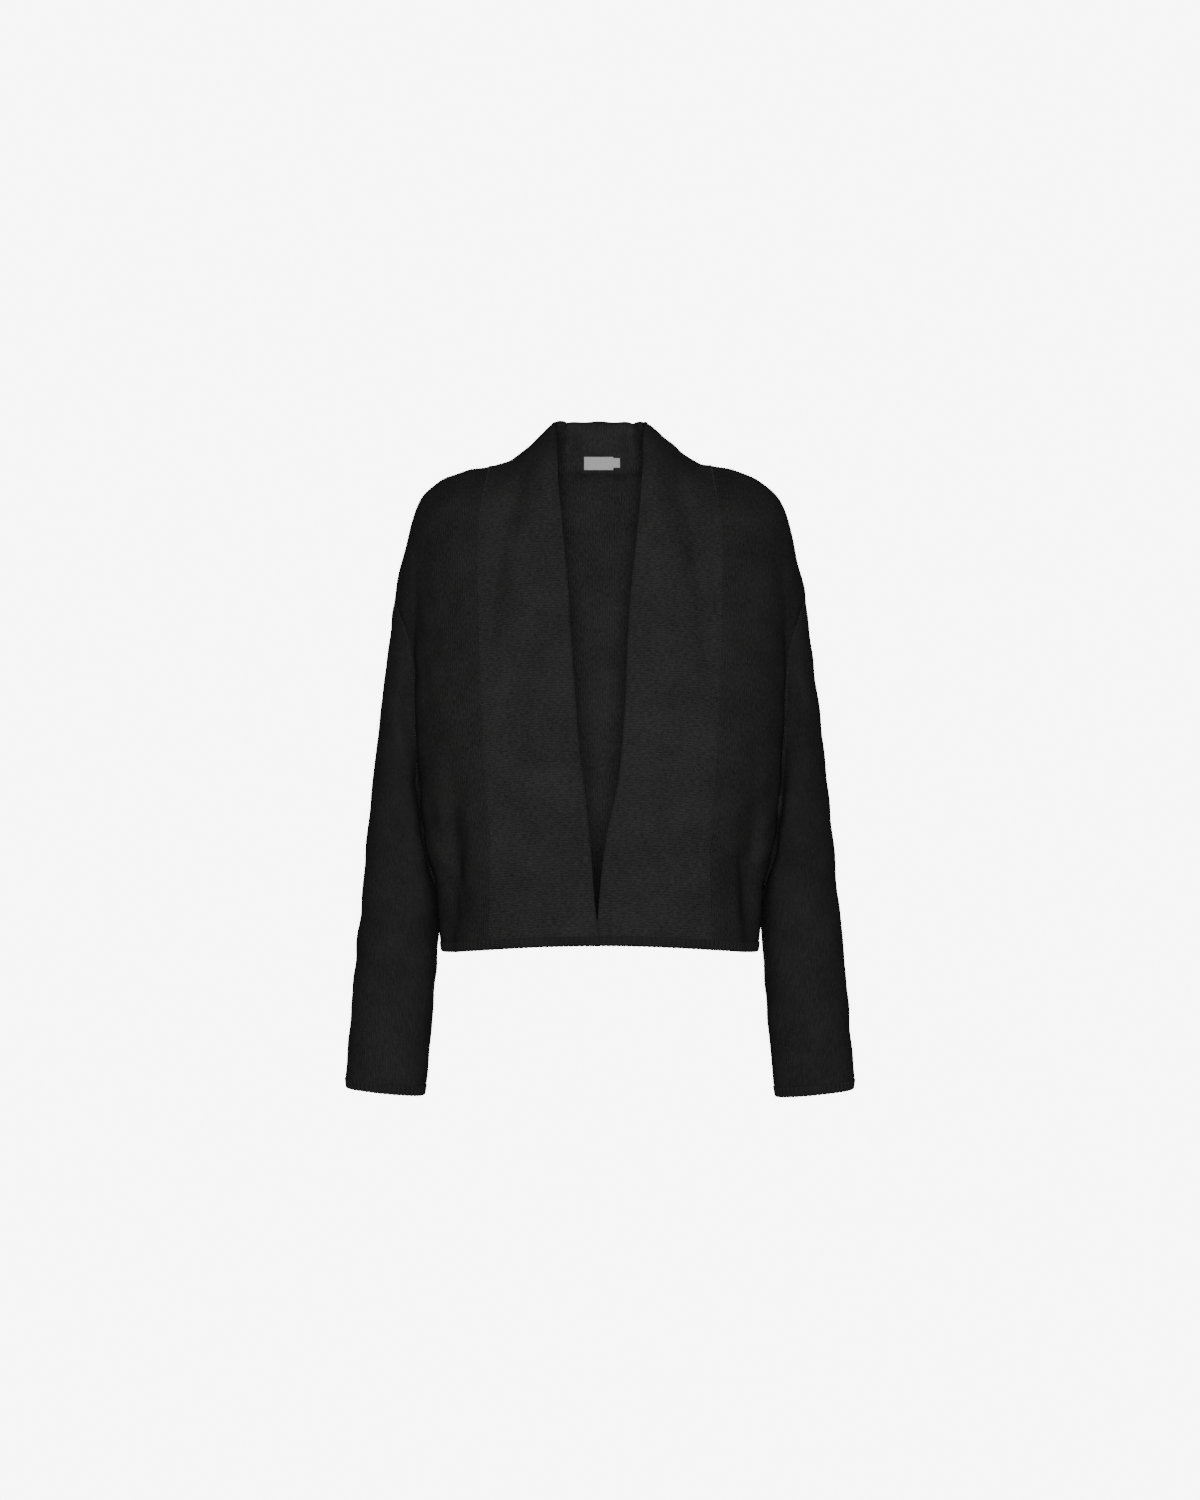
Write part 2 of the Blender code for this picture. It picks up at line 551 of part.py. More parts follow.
def press_sleeve_folds(grid, down, rounds, side):
    """Presses the folds into a sleeve; the right sleeve's lie a little lower than the left one's."""
    length = np.linalg.norm(grid[-1].mean(axis=0) - grid[0].mean(axis=0))
    half_girth = arc_lengths(grid[len(grid) // 2])[-1] / 2
    scale = np.array((length, half_girth))
    place = np.stack(np.broadcast_arrays(down[:, None], rounds[None, :]), axis=2) * scale
    lower = 0.0 if side > 0 else RIGHT_FOLDS_LOWER
    push = np.zeros(grid.shape[:2])
    for fold in SLEEVE_FOLDS:
        start = np.array((fold.start_down + lower, fold.start_round)) * scale
        run = np.array((fold.end_down + lower, fold.end_round)) * scale - start
        share = np.clip(((place - start) @ run) / (run @ run), 0.0, 1.0)
        distance = np.linalg.norm(place - start - share[..., None] * run, axis=2)
        swell = FOLD_ENDS + (1.0 - FOLD_ENDS) * np.sin(math.pi * share)
        push += fold.depth * np.exp(-(distance / fold.width) ** 2) * swell
    below_armhole = np.clip(down / RING_FADE - 1.0, 0.0, 1.0)
    above_cuff = np.clip((1.0 - down) / CUFF_FADE, 0.0, 1.0)
    push *= (below_armhole * above_cuff)[:, None]
    return grid - grid_normals(grid, closed=True) * push[..., None]


# ----------------------------------------------------------------------------------- cloth walls
def unit(vectors):
    """Vectors of length 1."""
    return vectors / np.maximum(np.linalg.norm(vectors, axis=-1, keepdims=True), 1e-12)


def grid_normals(grid, closed):
    """Outward normals of a grid whose columns, then rows, turn the right way round."""
    if closed:
        grid = np.concatenate((grid, grid[:, :1]), axis=1)
    quads = np.cross(grid[1:, 1:] - grid[:-1, :-1], grid[1:, :-1] - grid[:-1, 1:])
    normals = np.zeros_like(grid)
    for rows in (slice(0, -1), slice(1, None)):
        for columns in (slice(0, -1), slice(1, None)):
            normals[rows, columns] += quads
    if closed:
        normals[:, 0] += normals[:, -1]
        normals = normals[:, :-1]
    return unit(normals)


class Panel:
    """A piece of cloth: a grid of points on its outer face, and which of its edges are sewn."""

    def __init__(self, name, grid, sewn, closed=False, raised=0.0, level=None):
        """sewn names the sewn edges among first, last (rows), left and right (columns).

        level is (row, axis): that row's rim is kept square to an axis, as a hem's or a cuff's is.
        """
        self.name = name
        self.grid = grid
        self.sewn = sewn.split()
        self.closed = closed
        self.raised = raised
        self.level = level
        self.normals = grid_normals(grid, closed)
        self.reach = np.ones(grid.shape[:2])

    def seam_places(self):
        """Row and column of every point on a sewn edge."""
        last_row, last_column = self.grid.shape[0] - 1, self.grid.shape[1] - 1
        places = set()
        places.update((0, j) for j in range(last_column + 1) if "first" in self.sewn)
        places.update((last_row, j) for j in range(last_column + 1) if "last" in self.sewn)
        places.update((i, 0) for i in range(last_row + 1) if "left" in self.sewn)
        places.update((i, last_column) for i in range(last_row + 1) if "right" in self.sewn)
        return sorted(places)

    def level_rim(self):
        """Turns the normals of the levelled rows square to their axis."""
        if self.level is None:
            return
        rows, axis = self.level
        normals = self.normals[rows]
        self.normals[rows] = unit(normals - (normals @ axis)[..., None] * axis)

    def drawn_back(self):
        """How far each point moves to leave the seam gap."""
        move = np.zeros_like(self.grid)
        lines = {
            "first": (np.s_[0, :], np.s_[1, :]),
            "last": (np.s_[-1, :], np.s_[-2, :]),
            "left": (np.s_[:, 0], np.s_[:, 1]),
            "right": (np.s_[:, -1], np.s_[:, -2]),
        }
        for edge in self.sewn:
            line, next_line = lines[edge]
            points = self.grid[line]
            if self.closed:
                run = np.roll(points, -1, axis=0) - np.roll(points, 1, axis=0)
            else:
                run = np.gradient(points, axis=0)
            across = unit(np.cross(unit(run), self.normals[line]))
            inward = np.sum(across * (self.grid[next_line] - points), axis=1)
            move[line] += across * np.sign(inward)[:, None] * SEAM_GAP / 2
        return move

    def build(self, material):
        """Makes the wall: outer points, inner points a wall away, and rims between them."""
        self.level_rim()
        move = self.drawn_back()
        outer = self.grid + self.normals * np.asarray(self.raised)[..., None] + move
        inner = self.grid - self.normals * (WALL * self.reach)[..., None] + move
        rows, columns = self.grid.shape[:2]
        size = rows * columns
        points = np.concatenate((outer.reshape(-1, 3), inner.reshape(-1, 3)))
        faces = []
        steps = columns if self.closed else columns - 1
        for i in range(rows - 1):
            for j in range(steps):
                a, b = i * columns + j, i * columns + (j + 1) % columns
                c, d = b + columns, a + columns
                faces.append((a, b, c, d))
                faces.append((a + size, d + size, c + size, b + size))
        top = (rows - 1) * columns
        rims = [(b, a) for a, b in self.pairs(steps, 1, columns)]
        rims += [(a + top, b + top) for a, b in self.pairs(steps, 1, columns)]
        if not self.closed:
            rims += [(a, d) for a, d in self.pairs(rows - 1, columns, size)]
            rims += [(d + columns - 1, a + columns - 1) for a, d in self.pairs(rows - 1, columns, size)]
        for a, b in rims:
            faces += self.rim(a, b, size)
        return make_object(self.name, points, faces, material)

    @staticmethod
    def pairs(count, step, around):
        """Each point of an edge with the next one."""
        return [(k * step, (k + 1) * step % around) for k in range(count)]

    def rim(self, a, b, size):
        """Two triangles of a rim, cut the same way on both sides of a seam."""
        first, second = self.grid.reshape(-1, 3)[[a, b]]
        if (round(first[2], 6), round(abs(first[0]), 6)) < (round(second[2], 6), round(abs(second[0]), 6)):
            return [(a, b, b + size), (a, b + size, a + size)]
        return [(b, b + size, a + size), (b, a + size, a)]


def share_seam_normals(panels):
    """Gives the panels that meet at a seam point one normal there, unless they face away.

    The wall then reaches as much further inwards as its corner needs to keep its thickness.
    """
    meeting = {}
    for panel in panels:
        for place in panel.seam_places():
            key = tuple(np.round(panel.grid[place] / SAME_POINT).astype(int))
            meeting.setdefault(key, []).append((panel, place))
    for members in meeting.values():
        mean = unit(np.sum([panel.normals[place] for panel, place in members], axis=0))
        own = [float(panel.normals[place] @ mean) for panel, place in members]
        for (panel, place), alignment in zip(members, own):
            if alignment > FACING_AWAY:
                panel.normals[place] = mean
                panel.reach[place] = min(1.0 / alignment, LONGEST_REACH)


def make_object(name, points, faces, material):
    """A mesh object with its place in its mesh."""
    mesh = bpy.data.meshes.new(name)
    mesh.from_pydata([tuple(point) for point in points.tolist()], [], faces)
    mesh.validate()
    mesh.update()
    mesh.materials.append(material)
    item = bpy.data.objects.new(name, mesh)
    bpy.context.scene.collection.objects.link(item)
    return item


def mirrored(panel_grid_points):
    """The right half's grid for a left one, with its columns turned round to keep its face out."""
    return panel_grid_points[:, ::-1] * MIRROR


# ------------------------------------------------------------------------------------------ ribs
def rib_columns(length):
    """Two columns for each rib that fits on a length."""
    return 2 * max(1, round(length / RIB_PITCH))


def hem_rib(name, edge, sewn):
    """The rib under a panel's lower edge, a line of points from its left to its right."""
    line = spaced(edge, rib_columns(arc_lengths(edge)[-1]))
    raised = np.zeros((2, len(line)))
    raised[:, 1::2] = RIB_RAISE
    grid = np.stack((line - (0.0, 0.0, RIB_HEIGHT), line))
    return Panel(name, grid, sewn, raised=raised, level=(slice(None), UP))


def arm_axis(side):
    """The direction of the sleeve at its cuff, on the +1 or -1 side."""
    ring = RINGS[-1]
    across = np.array((ring.outer_x - ring.inner_x, 0.0, ring.outer_z - ring.inner_z))
    return unit(np.cross(across, (0.0, 1.0, 0.0))) * (side, 1.0, 1.0)


def cuff_rib(name, side):
    """The rib at a sleeve's end."""
    fine = np.linspace(0.0, 2 * math.pi, FINE + 1)
    loop = ring_points(RINGS[-1], fine)
    count = rib_columns(arc_lengths(loop)[-1])
    grid = np.stack((spaced(loop, count)[:-1], spaced(ring_points(CUFF_END, fine), count)[:-1]))
    raised = np.zeros((2, count))
    raised[:, 1::2] = RIB_RAISE
    grid[..., 2] += lifted(side)
    if side < 0:
        grid, raised = mirrored(grid), raised[:, ::-1]
    return Panel(name, grid, "first", closed=True, raised=raised, level=(0, arm_axis(side)))


# ------------------------------------------------------------------------------------------ tags
def tag(name, size, walls, material):
    """A satin tag that follows the inside of the neck, its stand-off from the nearest wall."""
    across = np.linspace(size.left, size.right, size.columns + 1)
    levels = np.linspace(size.bottom, size.top, TAG_PROBES)
    line = []
    for x in across:
        starts = [Vector((x + PROBE_ASIDE, TAG_PROBE, level)) for level in levels]
        hits = [walls.ray_cast(start, Vector((0.0, 1.0, 0.0)))[0] for start in starts]
        line.append(min(hit.y for hit in hits if hit is not None) - size.stand_off)
    outline = np.stack((across, np.array(line)), axis=1)
    far = outline
    near = outline - (0.0, size.thickness)
    points = []
    for level in (size.bottom, size.top):
        points.extend((x, y, level) for x, y in near)
        points.extend((x, y, level) for x, y in far)
    count = size.columns + 1
    top = 2 * count
    faces = []
    for j in range(count - 1):
        a, b, c, d = j, j + 1, count + j + 1, count + j
        faces.append((a, b, b + top, a + top))
        faces.append((d + top, c + top, c, d))
        faces.append((d, c, b, a))
        faces.append((a + top, b + top, c + top, d + top))
    faces.append((count, 0, top, count + top))
    faces.append((count - 1, 2 * count - 1, 2 * count - 1 + top, count - 1 + top))
    return make_object(name, np.array(points), faces, material)


def wall_tree(items):
    """A tree of the given objects' faces, for rays."""
    points, faces = [], []
    for item in items:
        start = len(points)
        points.extend(vertex.co.copy() for vertex in item.data.vertices)
        faces.extend(tuple(index + start for index in face.vertices) for face in item.data.polygons)
    return BVHTree.FromPolygons(points, faces)


# ------------------------------------------------------------------------------------------ model
def plain_material(name, colour, roughness):
    """A Principled material of one colour."""
    material = bpy.data.materials.new(name)
    material.use_nodes = True
    shader = material.node_tree.nodes["Principled BSDF"]
    shader.inputs["Base Color"].default_value = colour
    shader.inputs["Roughness"].default_value = roughness
    shader.inputs["Metallic"].default_value = 0.0
    return material


def clear_scene():
    """Removes whatever the scene holds."""
    for item in list(bpy.data.objects):
        bpy.data.objects.remove(item, do_unlink=True)


def cloth_panels():
    """The knitted panels."""
    front, back = front_grid(), back_grid()
    band_left, band_right = band_grid(1), mirrored(band_grid(-1))
    hem = (0, UP)
    panels = [
        Panel("back", back, "first last left right", level=hem),
        Panel("front_left", front, "first last left right", level=hem),
        Panel("front_right", mirrored(front), "first last left right", level=hem),
        Panel("band_left", band_left, "first last right", level=hem),
        Panel("band_right", band_right, "first last left", level=hem),
    ]
    for side, word in ((1, "left"), (-1, "right")):
        grid = sleeve_grid(SLEEVE_ROWS, sleeve_turns(), side)
        grid = grid if side > 0 else mirrored(grid)
        cuff = (-1, arm_axis(side))
        panels.append(Panel("sleeve_" + word, grid, "first last", closed=True, level=cuff))
    share_seam_normals(panels)
    return panels


def ribs(panels):
    """The ribs at the panels' lower edges and the sleeves' ends."""
    sewn = {"back": "last left right", "front_left": "last left right", "front_right": "last left right",
            "band_left": "last right", "band_right": "last left"}
    strips = [hem_rib("hem_rib_" + panel.name, panel.grid[0], sewn[panel.name])
              for panel in panels if panel.name in sewn]
    share_seam_normals(strips)
    for strip in strips:
        strip.grid[0] -= strip.normals[0] * RIB_DRAW_IN
    return strips + [cuff_rib("cuff_rib_left", 1), cuff_rib("cuff_rib_right", -1)]


def main():
    """Builds the cardigan."""
    clear_scene()
    knit = plain_material("charcoal knit", KNIT_COLOUR, 0.95)
    satin = plain_material("grey satin", SATIN_COLOUR, 0.45)
    panels = cloth_panels()
    built = {panel.name: panel.build(knit) for panel in panels + ribs(panels)}
    neck_walls = wall_tree([built["back"], built["band_left"], built["band_right"]])
    tag("size_tab", TAB, neck_walls, satin)
    tag("neck_label", LABEL, neck_walls, satin)


main()
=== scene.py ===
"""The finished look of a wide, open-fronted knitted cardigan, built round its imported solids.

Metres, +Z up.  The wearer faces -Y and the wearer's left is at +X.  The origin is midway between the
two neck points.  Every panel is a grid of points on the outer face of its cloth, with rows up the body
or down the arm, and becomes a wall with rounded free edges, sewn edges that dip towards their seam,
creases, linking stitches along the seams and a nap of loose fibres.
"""

import logging
import math
from dataclasses import dataclass, field
from enum import Enum
from typing import Iterable, NamedTuple, Optional, Sequence, Union

import bpy
import numpy as np
from mathutils import Matrix, Vector
from mathutils.bvhtree import BVHTree


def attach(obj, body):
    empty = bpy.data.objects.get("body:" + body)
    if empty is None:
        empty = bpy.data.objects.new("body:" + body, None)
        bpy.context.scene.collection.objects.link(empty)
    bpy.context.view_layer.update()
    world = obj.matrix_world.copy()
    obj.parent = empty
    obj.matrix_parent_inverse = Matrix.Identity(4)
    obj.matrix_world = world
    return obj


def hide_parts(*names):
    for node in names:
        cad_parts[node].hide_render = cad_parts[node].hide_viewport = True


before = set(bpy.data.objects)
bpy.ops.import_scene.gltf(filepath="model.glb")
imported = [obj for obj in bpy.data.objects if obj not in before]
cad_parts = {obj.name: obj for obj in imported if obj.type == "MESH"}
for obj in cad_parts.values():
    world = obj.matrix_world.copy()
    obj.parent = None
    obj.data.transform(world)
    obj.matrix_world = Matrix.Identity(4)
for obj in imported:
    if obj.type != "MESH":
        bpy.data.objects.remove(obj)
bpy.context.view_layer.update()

LOG = logging.getLogger("cardigan")
Points = np.ndarray
UP = np.array((0.0, 0.0, 1.0))
MIRROR = np.array((-1.0, 1.0, 1.0))
BODY = "root"
MILLIMETRES_IN_A_METRE = 1000.0


# ================================================================================ choices and tables
class Side(Enum):
    """A side of the wearer, with its sign along X."""

    LEFT = 1
    RIGHT = -1

    @property
    def word(self) -> str:
        """The side's name in lower case."""
        return self.name.lower()


class Face(Enum):
    """A face of the body, with its sign along Y."""

    FRONT = -1
    BACK = 1


class Section(NamedTuple):
    """A level section of the body: half widths, depths, and how square its corners are."""

    height: float
    chest: float
    side: float
    front: float
    back: float
    front_power: float
    back_power: float
    arm: float


SECTIONS = (
    Section(-0.515, 0.1650, 0.1650, 0.116, 0.090, 2.9, 2.7, 0.000),
    Section(-0.470, 0.1706, 0.1706, 0.119, 0.093, 3.0, 2.8, 0.000),
    Section(-0.443, 0.1717, 0.1717, 0.121, 0.095, 3.1, 2.9, 0.000),
    Section(-0.430, 0.1742, 0.1742, 0.122, 0.096, 3.1, 2.9, 0.000),
    Section(-0.417, 0.1775, 0.1775, 0.123, 0.097, 3.2, 3.0, 0.000),
    Section(-0.396, 0.1820, 0.1820, 0.125, 0.098, 3.3, 3.0, 0.000),
    Section(-0.354, 0.1870, 0.1870, 0.127, 0.100, 3.4, 3.1, 0.000),
    Section(-0.312, 0.1900, 0.1900, 0.128, 0.102, 3.5, 3.2, 0.010),
    Section(-0.249, 0.1920, 0.1940, 0.127, 0.104, 3.5, 3.2, 0.035),
    Section(-0.200, 0.1930, 0.2010, 0.122, 0.104, 3.4, 3.1, 0.050),
    Section(-0.170, 0.1930, 0.2085, 0.117, 0.103, 3.2, 3.0, 0.054),
    Section(-0.144, 0.1930, 0.2160, 0.112, 0.101, 3.1, 2.9, 0.055),
    Section(-0.102, 0.1940, 0.2075, 0.099, 0.096, 2.9, 2.7, 0.054),
    Section(-0.060, 0.1930, 0.1975, 0.081, 0.088, 2.6, 2.5, 0.048),
    Section(-0.039, 0.1870, 0.1890, 0.068, 0.083, 2.5, 2.4, 0.040),
    Section(-0.018, 0.1660, 0.1670, 0.046, 0.075, 2.3, 2.3, 0.026),
    Section(-0.007, 0.1385, 0.1390, 0.027, 0.068, 2.2, 2.2, 0.014),
    Section(-0.002, 0.1160, 0.1160, 0.014, 0.062, 2.2, 2.1, 0.006),
    Section(+0.008, 0.1160, 0.1160, 0.012, 0.062, 2.2, 2.1, 0.006),
)


class ArmholeStep(NamedTuple):
    """How far the armhole seam lies from the middle of the body at a height."""

    height: float
    x: float


ARMHOLE = (
    ArmholeStep(-0.443, 0.1720),
    ArmholeStep(-0.430, 0.1770),
    ArmholeStep(-0.417, 0.1810),
    ArmholeStep(-0.396, 0.1850),
    ArmholeStep(-0.354, 0.1885),
    ArmholeStep(-0.312, 0.1905),
    ArmholeStep(-0.249, 0.1930),
    ArmholeStep(-0.200, 0.1970),
    ArmholeStep(-0.170, 0.2050),
    ArmholeStep(-0.150, 0.2130),
    ArmholeStep(-0.144, 0.2160),
)


class BandStep(NamedTuple):
    """The band's seam and its two free edges at a height; an edge past the middle is negative."""

    height: float
    seam: float
    left_edge: float
    right_edge: float


BAND = (
    BandStep(-0.509, 0.114, -0.0050, -0.0015),
    BandStep(-0.466, 0.112, -0.0020, 0.0045),
    BandStep(-0.406, 0.111, 0.0035, 0.0090),
    BandStep(-0.375, 0.112, 0.0090, 0.0115),
    BandStep(-0.340, 0.116, 0.0170, 0.0155),
    BandStep(-0.301, 0.118, 0.0215, 0.0205),
    BandStep(-0.249, 0.121, 0.0255, 0.0245),
    BandStep(-0.196, 0.123, 0.0275, 0.0285),
    BandStep(-0.144, 0.124, 0.0305, 0.0315),
    BandStep(-0.102, 0.125, 0.0350, 0.0350),
    BandStep(-0.060, 0.124, 0.0385, 0.0385),
    BandStep(-0.039, 0.121, 0.0400, 0.0400),
    BandStep(-0.018, 0.118, 0.0420, 0.0420),
    BandStep(-0.002, 0.116, 0.0440, 0.0440),
)

Place = tuple[float, float, float]


class CollarRow(NamedTuple):
    """Points across the collar, in millimetres, at a distance along its seam from the neck point."""

    along: float
    low: Place
    middle: Place
    high: Place
    turn: Place
    fall: Place
    edge: Place


COLLAR = (
    CollarRow(-0.093, (107, -75, -58), (90, -79, -55), (74, -84, -52), (60, -89, -50), (50, -89, -48),
              (40, -84, -47)),
    CollarRow(-0.056, (103, -53, -27), (88, -56, -23), (74, -62, -17), (60, -69, -12), (51, -69, -9),
              (43, -63, -7)),
    CollarRow(-0.025, (101, -27, -9), (86, -29, -2), (71, -33, 9), (58, -36, 18), (50, -35, 22),
              (44, -29, 24)),
    CollarRow(0.000, (101, 1, 0), (86, 3, 7), (70, 5, 22), (57, 8, 35), (51, 10, 41), (46, 14, 43)),
    CollarRow(0.012, (98, 12, 3), (82, 13, 13), (67, 15, 27), (55, 18, 38.5), (50, 21, 42), (46, 26, 44)),
    CollarRow(0.030, (87, 29, 9), (71, 30, 24), (58, 32, 36.5), (49, 35.5, 42.5), (47, 40, 45),
              (50, 47, 44.5)),
    CollarRow(0.058, (72, 43, 12), (57, 43, 26), (47, 42, 38), (42.5, 46, 46), (46, 56, 45.5),
              (55, 63, 34)),
    CollarRow(0.098, (37, 56, 19), (29, 55, 32), (26, 55.5, 42), (27.5, 63, 47), (32, 74, 38),
              (37, 80.5, 13)),
    CollarRow(0.142, (0, 58, 20), (0, 56, 33), (0, 58.5, 43), (0, 68, 47), (0, 80, 33), (0, 84, -4)),
)


class Ring(NamedTuple):
    """A ring of the sleeve: its innermost and outermost point, half depth, middle along Y and power."""

    inner_x: float
    inner_z: float
    outer_x: float
    outer_z: float
    half_depth: float
    centre_y: float
    power: float


RINGS = (
    Ring(0.1720, -0.443, 0.2160, -0.144, 0.054, 0.000, 2.0),
    Ring(0.1700, -0.452, 0.2250, -0.215, 0.061, 0.000, 2.0),
    Ring(0.1682, -0.470, 0.2340, -0.290, 0.062, 0.001, 2.1),
    Ring(0.1694, -0.500, 0.2435, -0.380, 0.058, 0.002, 2.2),
    Ring(0.1730, -0.545, 0.2525, -0.470, 0.052, 0.000, 2.3),
    Ring(0.1767, -0.595, 0.2600, -0.560, 0.045, -0.004, 2.3),
    Ring(0.1820, -0.653, 0.2665, -0.645, 0.039, -0.010, 2.3),
)
CUFF_END = Ring(0.1838, -0.6635, 0.2650, -0.6555, 0.0375, -0.011, 2.3)


class BodyFold(NamedTuple):
    """A large fold of the body; each step is (height, x, depth)."""

    face: Face
    width: float
    steps: tuple[tuple[float, float, float], ...]


BODY_FOLDS = (
    BodyFold(Face.FRONT, 0.022, ((-0.320, 0.146, 0.000), (-0.396, 0.150, 0.007), (-0.443, 0.157, 0.011),
                                 (-0.470, 0.158, 0.009), (-0.515, 0.158, 0.005))),
    BodyFold(Face.BACK, 0.024, ((-0.310, 0.140, 0.000), (-0.400, 0.146, 0.006), (-0.443, 0.152, 0.009),
                                (-0.470, 0.154, 0.007), (-0.515, 0.154, 0.004))),
    BodyFold(Face.BACK, 0.022, ((-0.170, 0.122, 0.000), (-0.215, 0.116, 0.005), (-0.290, 0.104, 0.007),
                                (-0.380, 0.094, 0.005), (-0.480, 0.088, 0.000))),
)


class SleeveFold(NamedTuple):
    """A large fold of a sleeve, between places down it (0 to 1) and round it (0 underarm, 1 outside)."""

    start_down: float
    start_round: float
    end_down: float
    end_round: float
    depth: float
    width: float


SLEEVE_FOLDS = (
    SleeveFold(0.30, 1.90, 0.44, 1.38, 0.0060, 0.022),
    SleeveFold(0.52, 1.05, 0.62, 1.60, 0.0045, 0.020),
    SleeveFold(0.34, 0.10, 0.50, 0.65, 0.0060, 0.024),
    SleeveFold(0.62, 0.90, 0.72, 0.40, 0.0045, 0.020),
)


class Crease(NamedTuple):
    """A soft crease of the cloth, deep where depth is positive and a ridge where it is negative.

    It is pressed square to the cloth, or along pull where that is given.
    """

    width: float
    depth: float
    route: tuple[Place, ...]
    pull: Place = (0, 0, 0)


# The directions into the body from its front and from its back.
INTO_FRONT, INTO_BACK = (0, 1, 0), (0, -1, 0)
